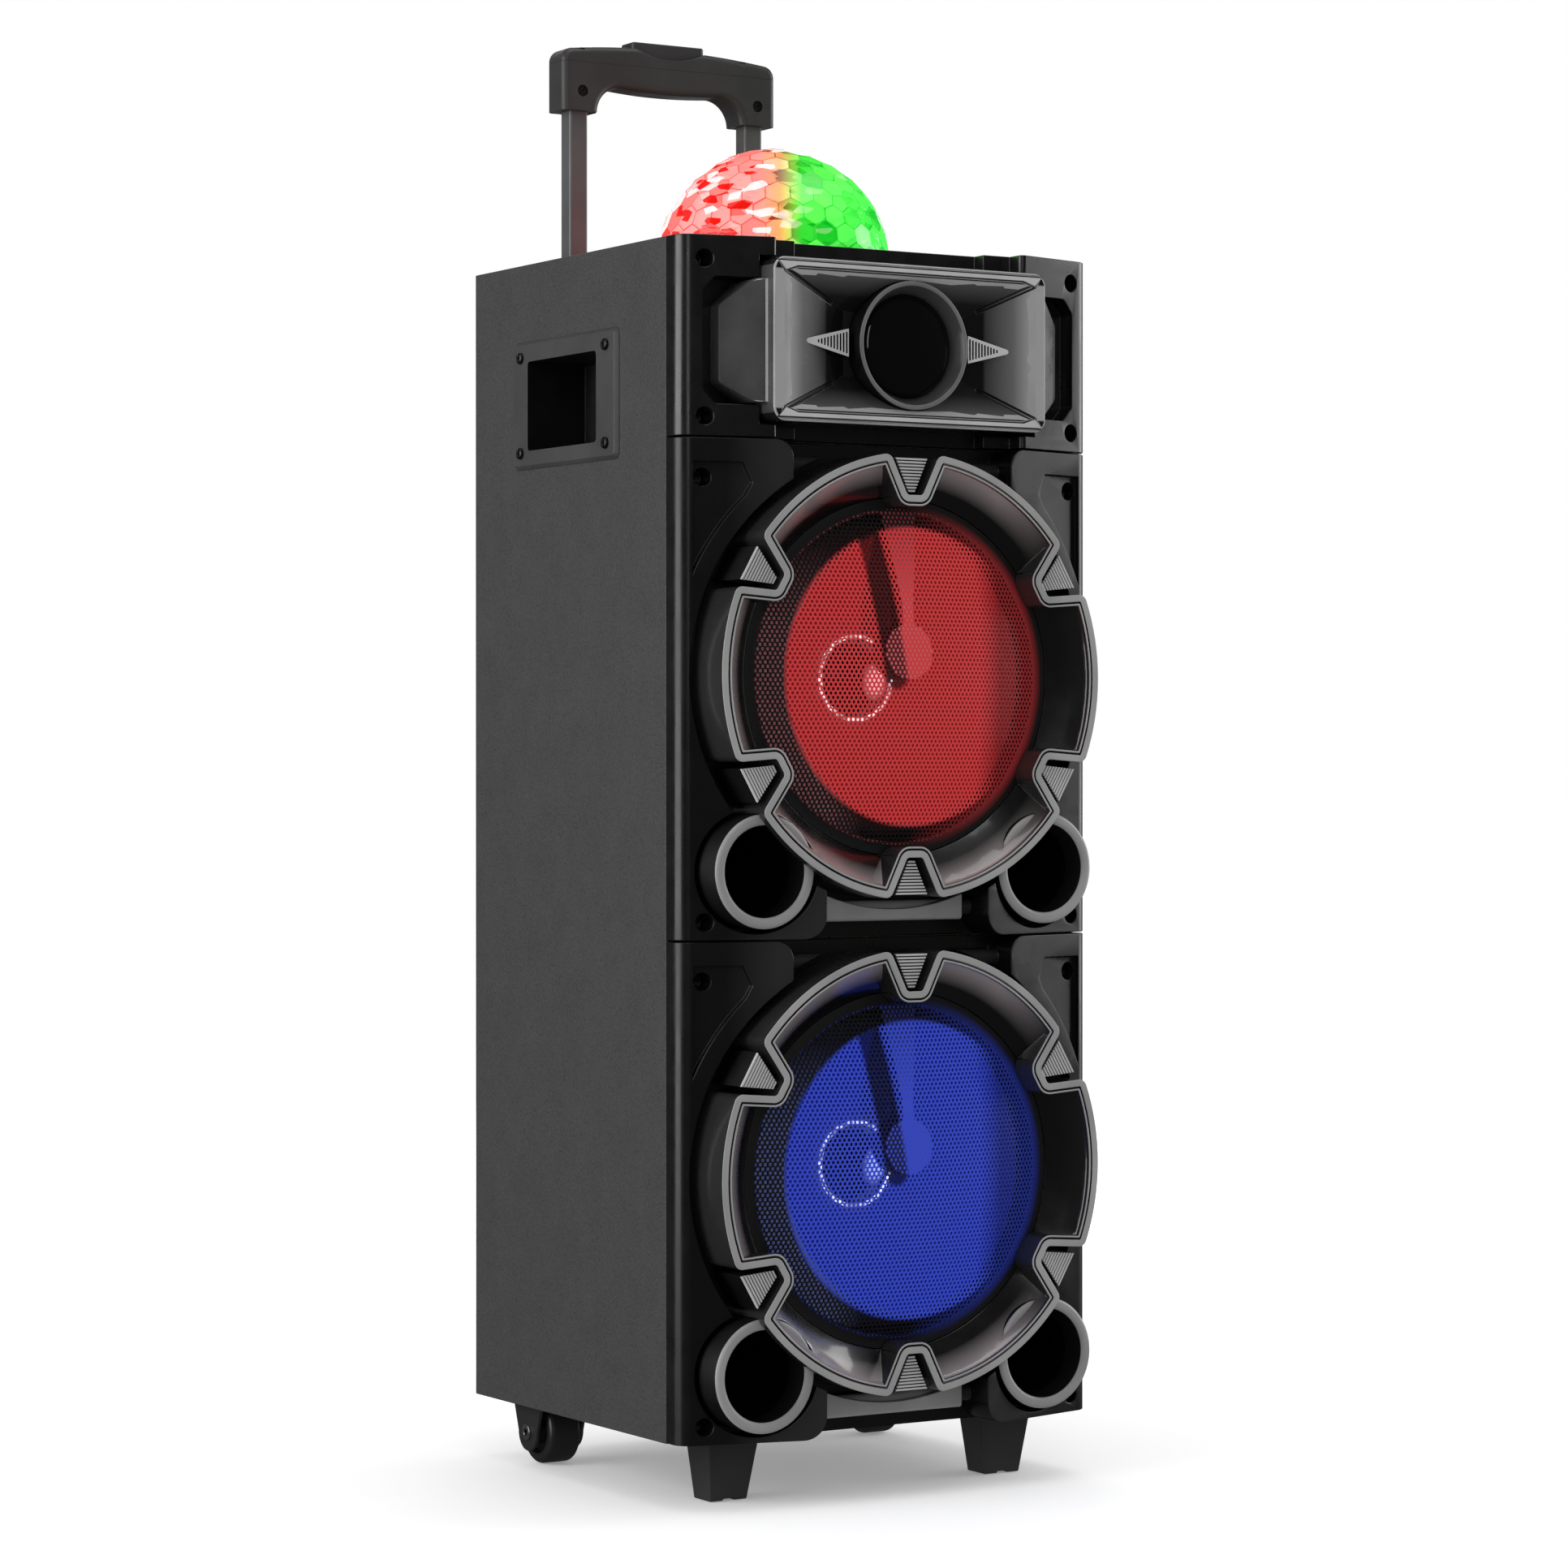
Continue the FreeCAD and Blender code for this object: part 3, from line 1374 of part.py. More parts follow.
def wheel_axles():
    """Hollow rivets, the wheels' fixed axles."""
    shaft = rod(axle_radius, (112.0, wheel_y, wheel_radius), (151.2, wheel_y, wheel_radius))
    heads = [
        rod(5.6, (111.0, wheel_y, wheel_radius), (113.0, wheel_y, wheel_radius)),
        rod(5.6, (150.0, wheel_y, wheel_radius), (151.6, wheel_y, wheel_radius)),
    ]
    axle = join([shaft] + heads)
    bore = rod(2.2, (110.0, wheel_y, wheel_radius), (153.0, wheel_y, wheel_radius))
    return solids(both_sides(axle.cut(bore)))


def rear_wheel_right():
    x0, x1 = wheel_x
    tread = rod(wheel_radius, (x0, wheel_y, wheel_radius), (x1, wheel_y, wheel_radius))
    tread = soften(tread, 4.0, lambda edge: not is_parallel(edge, X_AXIS))
    web_depth = 4.0
    dish = pipe(15.0, 8.0, (x0, wheel_y, wheel_radius), (x0 + web_depth, wheel_y, wheel_radius))
    dish_outer = pipe(15.0, 8.0, (x1 - web_depth, wheel_y, wheel_radius), (x1, wheel_y, wheel_radius))
    hub = rod(7.5, (x0 - 3.0, wheel_y, wheel_radius), (x1 + 4.0, wheel_y, wheel_radius))
    bore = rod(axle_radius + running_gap, (100, wheel_y, wheel_radius), (160, wheel_y, wheel_radius))
    return remove(join([remove(tread, [dish, dish_outer]), hub]), [bore])


# --- Screws -----------------------------------------------------------------------------------
def cross_cut(shape, head_point, axis):
    """A cross recess in a screw's head."""
    x, y, z = head_point
    arm = 2.3
    half = 0.45
    depth = 1.2
    if axis == Y_AXIS:
        bars = [
            box((x - arm, x + arm), (y - 0.1, y + depth), (z - half, z + half)),
            box((x - half, x + half), (y - 0.1, y + depth), (z - arm, z + arm)),
        ]
    else:
        side = 1 if x > 0 else -1
        x_range = tuple(sorted((x + side * 0.1, x - side * depth)))
        bars = [
            box(x_range, (y - arm, y + arm), (z - half, z + half)),
            box(x_range, (y - half, y + half), (z - arm, z + arm)),
        ]
    return remove(shape, bars)


def deck_screw(x, z):
    head = rod(screw_head, (x, -screw_seat - screw_head_height, z), (x, -screw_seat, z))
    shank = rod(screw_shank, (x, -screw_seat, z), (x, board - 1.0, z))
    return cross_cut(join([head, shank]), (x, -screw_seat - screw_head_height, z), Y_AXIS)


def cup_screw(side, y, z):
    seat = half_width + cup_proud
    head = rod(screw_head, (side * seat, y, z), (side * (seat + screw_head_height), y, z))
    head = soften(head, 1.4, lambda edge: lies_at(edge, x=side * (seat + screw_head_height)))
    shank = rod(screw_shank, (side * (half_width - board + 1.0), y, z), (side * seat, y, z))
    return cross_cut(join([head, shank]), (side * (seat + screw_head_height), y, z), X_AXIS)


def back_screw(x, z, seat):
    head = rod(screw_head, (x, seat, z), (x, seat + screw_head_height, z))
    shank = rod(screw_shank, (x, back_y - board + 1.0, z), (x, seat, z))
    screw = join([head, shank])
    return cross_cut(screw, (x, seat + screw_head_height - 1.2, z), Y_AXIS)


def case_screws():
    screws = [deck_screw(x, z) for x, z in deck_screw_places()]
    for y, z in cup_screw_places():
        screws += [cup_screw(1, y, z), cup_screw(-1, y, z)]
    screws += [back_screw(x, z, back_y + panel_thickness) for x, z in panel_screw_places()]
    screws += [back_screw(x, z, back_y + 4.0) for x, z in trolley_screw_places()]
    return solids(screws)


# --- Writing the nodes ------------------------------------------------------------------------
def all_nodes():
    nodes = {
        "side_panel_right": side_panel_right(),
        "side_panel_left": mirrored(side_panel_right()),
        "top_panel": top_panel(),
        "bottom_panel": bottom_panel(),
        "back_panel": back_panel(),
        "front_board": front_board(),
        "tweeter_deck": tweeter_deck_shape(),
        "horn_frame": horn_frame(),
        "horn_trim": horn_trim(),
        "tweeter_ring": tweeter_ring(),
        "tweeter_lens": tweeter_lens(),
        "tweeter_driver": tweeter_driver(),
        "handle_cup_right": handle_cup_right(),
        "handle_cup_left": mirrored(handle_cup_right()),
        "case_screws": case_screws(),
        "dome_collar": dome_collar(),
        "lamp_board": lamp_board(),
        "dome_motor": dome_motor(),
        "light_dome": light_dome(),
        "dome_spider": dome_spider(),
        "amp_panel": amp_panel(),
        "amp_board": amp_board(),
        "panel_sockets": panel_sockets(),
        "mains_inlet": mains_inlet(),
        "battery_pack": battery_pack(),
        "volume_knob": knob(-knob_x),
        "microphone_knob": knob(knob_x),
        "play_button": push_button(-button_x),
        "mode_button": push_button(button_x),
        "power_rocker": power_rocker(),
        "trolley_sleeves": trolley_sleeves(),
        "trolley_brackets": trolley_brackets(),
        "trolley_tubes": trolley_tubes(),
        "trolley_grip": trolley_grip(),
        "grip_cover": grip_cover(),
        "grip_button": grip_button(),
        "grip_screws": grip_screws(),
        "front_feet": front_feet(),
        "wheel_brackets": wheel_brackets(),
        "wheel_axles": wheel_axles(),
        "rear_wheel_right": rear_wheel_right(),
        "rear_wheel_left": mirrored(rear_wheel_right()),
    }
    for name, deck in (("lower", lower_deck), ("upper", upper_deck)):
        nodes["woofer_deck_" + name] = woofer_deck(deck)
        nodes["bezel_" + name] = bezel(deck)
        nodes["bezel_wedges_" + name] = bezel_wedges(deck)
        nodes["grille_" + name] = grille(deck)
        nodes["lamp_arm_" + name] = lamp_arm(deck)
        nodes["woofer_basket_" + name] = woofer_basket(deck)
        nodes["woofer_magnet_" + name] = woofer_magnet(deck)
        nodes["woofer_cone_" + name] = woofer_cone(deck)
        nodes["port_tubes_" + name] = port_tubes(deck)
    return nodes


def write_nodes(nodes):
    os.makedirs("parts", exist_ok=True)
    for name, shape in nodes.items():
        placed = shape.translated(vector(0, -origin_y, 0))
        placed.exportStep("parts/" + name + ".step")


write_nodes(all_nodes())
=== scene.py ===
import json
import math
import random
from functools import partial

import bmesh
import bpy
from mathutils import Matrix, Vector
from mathutils.bvhtree import BVHTree

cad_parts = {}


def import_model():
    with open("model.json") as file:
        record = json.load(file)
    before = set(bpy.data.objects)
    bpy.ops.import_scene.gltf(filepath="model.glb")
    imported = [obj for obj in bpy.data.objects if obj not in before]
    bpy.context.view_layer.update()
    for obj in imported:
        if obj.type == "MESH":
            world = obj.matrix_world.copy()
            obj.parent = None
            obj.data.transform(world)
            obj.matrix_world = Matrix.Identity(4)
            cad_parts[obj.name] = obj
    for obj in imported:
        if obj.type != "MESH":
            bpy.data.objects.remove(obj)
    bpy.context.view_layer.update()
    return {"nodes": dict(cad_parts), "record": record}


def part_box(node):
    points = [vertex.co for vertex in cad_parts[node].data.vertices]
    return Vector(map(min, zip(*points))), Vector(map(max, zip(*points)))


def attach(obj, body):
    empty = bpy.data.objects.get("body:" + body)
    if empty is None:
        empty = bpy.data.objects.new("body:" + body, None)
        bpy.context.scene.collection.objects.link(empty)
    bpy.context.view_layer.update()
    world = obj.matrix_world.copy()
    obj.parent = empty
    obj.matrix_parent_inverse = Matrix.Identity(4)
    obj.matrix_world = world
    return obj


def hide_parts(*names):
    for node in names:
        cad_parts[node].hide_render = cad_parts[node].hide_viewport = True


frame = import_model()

MM = 0.001
RECORD = frame["record"]
BODY_OF = {node: body for body, members in RECORD["behaviour"]["bodies"].items() for node in members}
SLOT_OF = {entry["node"]: entry["material_slot"] for entry in RECORD["subparts"]}

# --- Places read from the frame, metres -------------------
DECKS = ("lower", "upper")


def middle(node):
    low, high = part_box(node)
    return (low + high) / 2


def front_of(node):
    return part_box(node)[0].y


def half_width(node):
    low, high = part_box(node)
    return (high.x - low.x) / 2


# --- Mesh helpers -----------------------------------------
def finish_mesh(bm, name, smooth_angle):
    """Turn a bmesh into an object whose faces are smooth except across sharp edges."""
    bmesh.ops.recalc_face_normals(bm, faces=bm.faces)
    mesh = bpy.data.meshes.new(name)
    bm.to_mesh(mesh)
    bm.free()
    mesh.polygons.foreach_set("use_smooth", [True] * len(mesh.polygons))
    mesh.set_sharp_from_angle(angle=math.radians(smooth_angle))
    piece = bpy.data.objects.new(name, mesh)
    bpy.context.scene.collection.objects.link(piece)
    return piece


def settle(piece, node, material):
    """Let a finished piece take its CAD node's place: the material given, the node's body, and the node
    hidden.
    """
    piece.data.materials.append(material)
    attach(piece, BODY_OF[node])
    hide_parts(node)
    return piece


def repaint(piece, material, chosen):
    """Give a second material to the faces that chosen(middle, normal) picks: a finish, or painted light or
    shade.
    """
    piece.data.materials.append(material)
    index = len(piece.data.materials) - 1
    for face in piece.data.polygons:
        if chosen(face.center, face.normal):
            face.material_index = index


def strays(bm, original, reach):
    """Whether any face has left the piece's own surface by more than reach."""
    return any(original.find_nearest(face.calc_center_median())[3] > reach for face in bm.faces)


def refined(node, material, bevel):
    """The CAD piece with each hard edge rounded, as a moulding or a folded sheet has it.

    Where the rounding is too wide for the piece's narrow faces, it is made narrower until none is torn."""
    width = bevel * MM
    hard = math.radians(28.0)
    narrowest = 0.1 * MM
    narrowing = 0.6
    while True:
        bm = bmesh.new()
        bm.from_mesh(frame["nodes"][node].data)
        bmesh.ops.remove_doubles(bm, verts=bm.verts, dist=1e-6)
        original = BVHTree.FromBMesh(bm)
        bmesh.ops.bevel(
            bm,
            geom=[e for e in bm.edges if e.calc_face_angle(0.0) > hard],
            offset=width,
            offset_type="OFFSET",
            segments=2,
            profile=0.5,
            affect="EDGES",
            clamp_overlap=False,
            loop_slide=False,
        )
        if width < narrowest or not strays(bm, original, 1.3 * width):
            break
        bm.free()
        width *= narrowing
    low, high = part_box(node)
    for vertex in bm.verts:
        vertex.co = [min(max(value, least), most) for value, least, most in zip(vertex.co, low, high)]
    piece = finish_mesh(bm, node + "_finished", 40.0)
    piece.modifiers.new("normals", "WEIGHTED_NORMAL").keep_sharp = True
    return settle(piece, node, material)


def ring_of(bm, profile, centre, steps, closed_profile=True):
    """Turn (radius, y) points in metres about the Y-parallel axis through centre."""
    rings = []
    for radius, y in profile:
        if radius < 1e-7:
            rings.append([bm.verts.new((centre.x, y, centre.z))])
            continue
        ring = []
        for index in range(steps):
            angle = 2 * math.pi * index / steps
            ring.append(
                bm.verts.new((centre.x + radius * math.sin(angle), y, centre.z + radius * math.cos(angle)))
            )
        rings.append(ring)
    pairs = list(zip(rings, rings[1:]))
    if closed_profile:
        pairs.append((rings[-1], rings[0]))
    for a, b in pairs:
        if len(a) == 1 and len(b) == 1:
            continue
        for index in range(steps):
            following = (index + 1) % steps
            corners = [a[index % len(a)], a[following % len(a)], b[following % len(b)], b[index % len(b)]]
            unique = list(dict.fromkeys(corners))
            if len(unique) >= 3:
                bm.faces.new(unique)


def turned(name, profile, centre, steps, smooth_angle, closed_profile=True):
    """A piece made by turning one profile."""
    bm = bmesh.new()
    ring_of(bm, profile, centre, steps, closed_profile)
    return finish_mesh(bm, name, smooth_angle)


def arc(centre_radius, centre_y, radius, start, end, steps):
    """Points on an arc in the (radius, y) plane, angles in degrees from the outward direction."""
    points = []
    for index in range(steps + 1):
        angle = math.radians(start + (end - start) * index / steps)
        points.append((centre_radius + radius * math.cos(angle), centre_y + radius * math.sin(angle)))
    return points


def dome_depth(radius, cap_radius, rim_y, apex_y):
    """Y of a shallow spherical cap at a radius from its axis."""
    height = rim_y - apex_y
    sphere = (cap_radius**2 + height**2) / (2 * height)
    return apex_y + sphere - math.sqrt(sphere**2 - min(radius, cap_radius) ** 2)


# --- Material helpers -------------------------------------
class Shade:
    """A node material, with short ways to add and join nodes."""

    def __init__(self, name):
        self.material = bpy.data.materials.new(name)
        self.material.use_nodes = True
        self.tree = self.material.node_tree
        self.shader = self.tree.nodes["Principled BSDF"]

    def add(self, kind, **values):
        node = self.tree.nodes.new(kind)
        for key, value in values.items():
            if hasattr(node, key):
                setattr(node, key, value)
            else:
                node.inputs[key.replace("_", " ")].default_value = value
        return node

    def join(self, source, target):
        self.tree.links.new(source, target)

    def set(self, socket, value):
        """One value all over the piece, on the shader's own socket."""
        self.shader.inputs[socket].default_value = value

    def feed(self, socket, source):
        """A pattern on one of the shader's sockets."""
        self.join(source, self.shader.inputs[socket])

    def glow(self, colour, strength):
        """Lamp light that falls on the surface: one colour, and a pattern for its strength."""
        self.set("Emission Color", (*colour, 1.0))
        self.feed("Emission Strength", strength)

    def place(self, stretch=(1.0, 1.0, 1.0)):
        """Where a point lies on its piece, in metres, stretched to change a pattern's direction."""
        coordinates = self.add("ShaderNodeTexCoord")
        mapping = self.add("ShaderNodeMapping")
        mapping.inputs["Scale"].default_value = stretch
        self.join(coordinates.outputs["Object"], mapping.inputs["Vector"])
        return mapping.outputs["Vector"]

    def noise(self, scale, detail=3.0, stretch=(1.0, 1.0, 1.0)):
        node = self.add("ShaderNodeTexNoise", Scale=scale, Detail=detail)
        self.join(self.place(stretch), node.inputs["Vector"])
        return node.outputs["Fac"]

    def pebbles(self, scale):
        node = self.add("ShaderNodeTexVoronoi", feature="SMOOTH_F1", Scale=scale)
        self.join(self.place(), node.inputs["Vector"])
        return node.outputs["Distance"]

    def remap(self, value, low, high, out_low, out_high):
        node = self.add("ShaderNodeMapRange")
        limits = {"From Min": low, "From Max": high, "To Min": out_low, "To Max": out_high}
        for key, number in limits.items():
            node.inputs[key].default_value = number
        self.join(value, node.inputs["Value"])
        return node.outputs["Result"]

    def spread(self, noise, out_low, out_high):
        """Noise keeps near its middle, so its middle part is stretched over the whole range."""
        return self.remap(noise, 0.3, 0.7, out_low, out_high)

    def math(self, operation, first, second=None):
        """Arithmetic on a socket with another socket or a number."""
        node = self.add("ShaderNodeMath", operation=operation)
        self.join(first, node.inputs[0])
        if isinstance(second, float):
            node.inputs[1].default_value = second
        elif second:
            self.join(second, node.inputs[1])
        return node.outputs["Value"]

    def hypotenuse(self, first, second):
        squares = [self.math("MULTIPLY", side, side) for side in (first, second)]
        return self.math("SQRT", self.math("ADD", *squares))

    def mix(self, factor, first, second):
        """Blend two colours; either may be a socket or three numbers."""
        node = self.add("ShaderNodeMixRGB")
        self.join(factor, node.inputs["Fac"])
        for colour, socket in ((first, node.inputs["Color1"]), (second, node.inputs["Color2"])):
            if isinstance(colour, tuple):
                socket.default_value = (*colour, 1.0)
            else:
                self.join(colour, socket)
        return node.outputs["Color"]

    def ramp(self, factor, stops):
        """Colour along a scale from 0 to 1: stops are (position, colour)."""
        node = self.add("ShaderNodeValToRGB")
        elements = node.color_ramp.elements
        while len(elements) < len(stops):
            elements.new(0.5)
        for element, (position, colour) in zip(elements, stops):
            element.position = position
            element.color = (*colour, 1.0)
        self.join(factor, node.inputs["Fac"])
        return node.outputs["Color"]

    def blend_colours(self, factor, low_colour, high_colour):
        return self.ramp(factor, ((0.0, low_colour), (1.0, high_colour)))

    def bump(self, height, strength, distance):
        node = self.add("ShaderNodeBump", Strength=strength, Distance=distance)
        self.join(height, node.inputs["Height"])
        if self.shader.inputs["Normal"].is_linked:
            self.join(self.shader.inputs["Normal"].links[0].from_socket, node.inputs["Normal"])
        self.join(node.outputs["Normal"], self.shader.inputs["Normal"])


FINE_GRAIN = (2600.0, 0.10, 0.00006)


def moulded(
    name, colour, roughness, mottle=0.14, smudge=0.06, grain=FINE_GRAIN, hairline=None,
    metallic=0.0, coat=0.0, specular=0.5,
):
    """A surface with slow colour variation, uneven gloss and a fine grain; hairline adds brushed lines.

    A grain is scale, strength and depth in metres; a hairline is its stretch and strength."""
    shade = Shade(name)
    shade.set("Metallic", metallic)
    shade.set("Coat Weight", coat)
    shade.set("Coat Roughness", 0.08)
    shade.set("Specular IOR Level", specular)
    slow = shade.spread(shade.noise(22.0, 4.0), 0.0, 1.0)
    dark = tuple(c * (1 - mottle) for c in colour)
    light = tuple(min(1.0, c * (1 + mottle)) for c in colour)
    shade.feed("Base Color", shade.blend_colours(slow, dark, light))
    gloss = shade.noise(60.0, 6.0)
    low = max(0.02, roughness - smudge)
    shade.feed("Roughness", shade.spread(gloss, low, roughness + smudge))
    scale, strength, distance = grain
    shade.bump(shade.noise(scale, 2.0), strength, distance)
    if hairline:
        stretch, line_strength = hairline
        shade.bump(shade.noise(1.0, 2.0, stretch), line_strength, 0.00005)
    return shade.material


def vinyl(name, colour):
    """Leather-grain vinyl: closely packed soft pebbles with finer wrinkles between them."""
    shade = Shade(name)
    pebbles = shade.pebbles(780.0)
    wrinkles = shade.noise(1500.0, 4.0)
    tone = shade.remap(pebbles, 0.0, 0.8, 0.0, 1.0)
    dark = tuple(c * 0.72 for c in colour)
    light = tuple(c * 1.22 for c in colour)
    shade.feed("Base Color", shade.blend_colours(tone, light, dark))
    shade.feed("Roughness", shade.spread(shade.noise(40.0, 5.0), 0.48, 0.62))
    shade.bump(pebbles, 0.55, 0.0004)
    shade.bump(wrinkles, 0.30, 0.0002)
    return shade.material


def board_edge(name, colour):
    """Bare fibreboard: short pressed fibres."""
    shade = Shade(name)
    fibres = shade.noise(400.0, 6.0, (1.0, 1.0, 4.0))
    dark = tuple(c * 0.6 for c in colour)
    shade.feed("Base Color", shade.blend_colours(fibres, dark, colour))
    shade.feed("Roughness", shade.spread(fibres, 0.75, 0.95))
    shade.bump(fibres, 0.4, 0.0003)
    return shade.material


def offset_from(shade, point):
    """Where the surface lies, measured from a point, in metres."""
    geometry = shade.add("ShaderNodeNewGeometry")
    offset = shade.add("ShaderNodeVectorMath", operation="SUBTRACT")
    offset.inputs[1].default_value = point
    shade.join(geometry.outputs["Position"], offset.inputs[0])
    return offset.outputs["Vector"]


def from_centre(shade, centre):
    """Distance from an axis parallel to Y, and X and Z measured from it, in metres."""
    flat = shade.add("ShaderNodeVectorMath", operation="MULTIPLY")
    flat.inputs[1].default_value = (1.0, 0.0, 1.0)
    shade.join(offset_from(shade, centre), flat.inputs[0])
    length = shade.add("ShaderNodeVectorMath", operation="LENGTH")
    shade.join(flat.outputs["Vector"], length.inputs[0])
    parts = shade.add("ShaderNodeSeparateXYZ")
    shade.join(flat.outputs["Vector"], parts.inputs["Vector"])
    return length.outputs["Value"], parts.outputs["X"], parts.outputs["Z"]


# Colours of the lamps' light on the cones, the sheets' webs, pale surfaces and the lamp arms.
GLOW = {"upper": (0.80, 0.022, 0.030), "lower": (0.013, 0.035, 0.72)}
WEB_GLOW = {"upper": (0.80, 0.055, 0.060), "lower": (0.045, 0.085, 0.75)}
PALE_GLOW = {"upper": (0.62, 0.25, 0.27), "lower": (0.22, 0.27, 0.66)}
ARM_GLOW = {"upper": (0.90, 0.16, 0.18), "lower": (0.07, 0.11, 0.80)}


# --- Grilles ----------------------------------------------
# The two sides of a sheet, counted in sheet thicknesses from its front.
FRONT, BACK = 0, 1


def grille_material(deck):
    """Black perforated sheet in the lamps' light: a bright disc, and a fainter right-hand side."""
    shade = Shade("sheet_" + deck)
    shade.set("Base Color", (0.010, 0.010, 0.011, 1.0))
    shade.feed("Roughness", shade.spread(shade.noise(300.0, 3.0), 0.28, 0.40))
    shade.bump(shade.noise(1800.0, 2.0), 0.15, 0.0001)
    axis = middle("grille_" + deck)
    disc_shift = Vector((8.0 * MM, 0.0, 0.0))
    disc_radius = 97.0 * MM
    lit_part = 107.0 * MM
    radius, across, _ = from_centre(shade, axis + disc_shift)
    disc = shade.remap(radius, disc_radius, disc_radius + 3.0 * MM, 1.0, 0.0)
    towards_right = shade.remap(across, 50.0 * MM, 70.0 * MM, 0.58, 0.17)
    from_axis, _, _ = from_centre(shade, axis)
    side = shade.remap(across, 0.0, 60.0 * MM, 0.0, 0.20)
    rim = shade.remap(from_axis, lit_part, lit_part + 8.0 * MM, 1.0, 0.0)
    lit = shade.math("MULTIPLY", disc, towards_right)
    lit_open = shade.math("MULTIPLY", lit, arm_shadow(shade, deck, -11.0 * MM, 7.0 * MM))
    glow = shade.math("MAXIMUM", lit_open, shade.math("MULTIPLY", side, rim))
    shade.glow(WEB_GLOW[deck], glow)
    return shade.material


def perforated_sheet(deck):
    """A domed sheet cut by hexagonal holes on a triangular grid, with a plain flat rim."""
    node = "grille_" + deck
    low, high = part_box(node)
    centre = middle(node)
    rim_width = 4.0 * MM
    sheet = 1.2 * MM
    rim_radius = half_width(node)
    cap_radius = rim_radius - rim_width
    rim_y = high.y - sheet
    apex_y = low.y
    pitch = 3.27 * MM
    hole_across = 2.4 * MM
    row_step = pitch * math.sqrt(3) / 2
    cell_corner = pitch / math.sqrt(3)
    hole_corner = hole_across / math.sqrt(3)
    outermost = cap_radius - pitch * 0.62
    bm = bmesh.new()
    known = {}

    def point(x, z, side):
        """The sheet's vertex at X and Z, made once."""
        key = (round(x * 1e7), round(z * 1e7), side)
        if key not in known:
            radius = math.hypot(x, z)
            y = dome_depth(radius, cap_radius, rim_y, apex_y) + side * sheet
            known[key] = bm.verts.new((centre.x + x, y, centre.z + z))
        return known[key]

    rows = int(cap_radius / row_step) + 1
    corner_angles = [math.radians(60 * k + 30) for k in range(6)]
    for row in range(-rows, rows + 1):
        z = row * row_step
        shift = pitch / 2 if row % 2 else 0.0
        for column in range(-rows - 2, rows + 3):
            x = column * pitch + shift
            if math.hypot(x, z) > outermost:
                continue
            outer, inner = (
                [(x + reach * math.cos(angle), z + reach * math.sin(angle)) for angle in corner_angles]
                for reach in (cell_corner, hole_corner)
            )
            for k in range(6):
                following = (k + 1) % 6
                web = (outer[k], outer[following], inner[following], inner[k])
                bm.faces.new([point(*web[i], FRONT) for i in (0, 1, 2, 3)])
                bm.faces.new([point(*web[i], BACK) for i in (0, 3, 2, 1)])
                hole = ((3, FRONT), (2, FRONT), (2, BACK), (3, BACK))
                bm.faces.new([point(*web[i], side) for i, side in hole])
    close_to_rim(bm, centre, cap_radius, rim_radius, rim_y, apex_y, sheet)
    piece = finish_mesh(bm, "grille_sheet_" + deck, 30.0)
    return settle(piece, node, grille_material(deck))


def close_to_rim(bm, centre, cap_radius, rim_radius, rim_y, apex_y, sheet):
    """The plain border between the outermost holes and the sheet's edge: a closed ring."""
    border = cap_radius - 2.9 * MM
    proud = 0.02 * MM
    steps = 160
    profile = []
    for radius in (border, (border + cap_radius) / 2, cap_radius):
        profile.append((radius, dome_depth(radius, cap_radius, rim_y, apex_y) - proud))
    profile += [(rim_radius, rim_y), (rim_radius, rim_y + sheet)]
    for radius in (cap_radius, (border + cap_radius) / 2, border):
        profile.append((radius, dome_depth(radius, cap_radius, rim_y, apex_y) + sheet + proud))
    profile[-1] = (border, min(profile[-1][1], rim_y + sheet))
    ring_of(bm, profile, centre, steps)


# --- Woofer cones -----------------------------------------
def arm_shadow(shade, deck, offset, half):
    """Near 0 in the lamp arm's shadow, 1 elsewhere.

    offset is how far the shadow lies along X from the arm's head, and half is half its width."""
    lean = 0.16
    soft_edge = 3.0 * MM
    deepest = 0.08
    low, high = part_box("lamp_arm_" + deck)
    head = (high.x - low.x) / 2
    head_centre = Vector(((low.x + high.x) / 2, 0.0, low.z + head))
    _, across, up = from_centre(shade, head_centre)
    below = shade.math("MINIMUM", up, 0.0)
    above = shade.math("MAXIMUM", up, 0.0)
    leaning = shade.math("ADD", across, shade.math("MULTIPLY", above, lean))
    across = shade.math("SUBTRACT", leaning, offset)
    distance = shade.hypotenuse(across, below)
    return shade.remap(distance, half, half + soft_edge, deepest, 1.0)


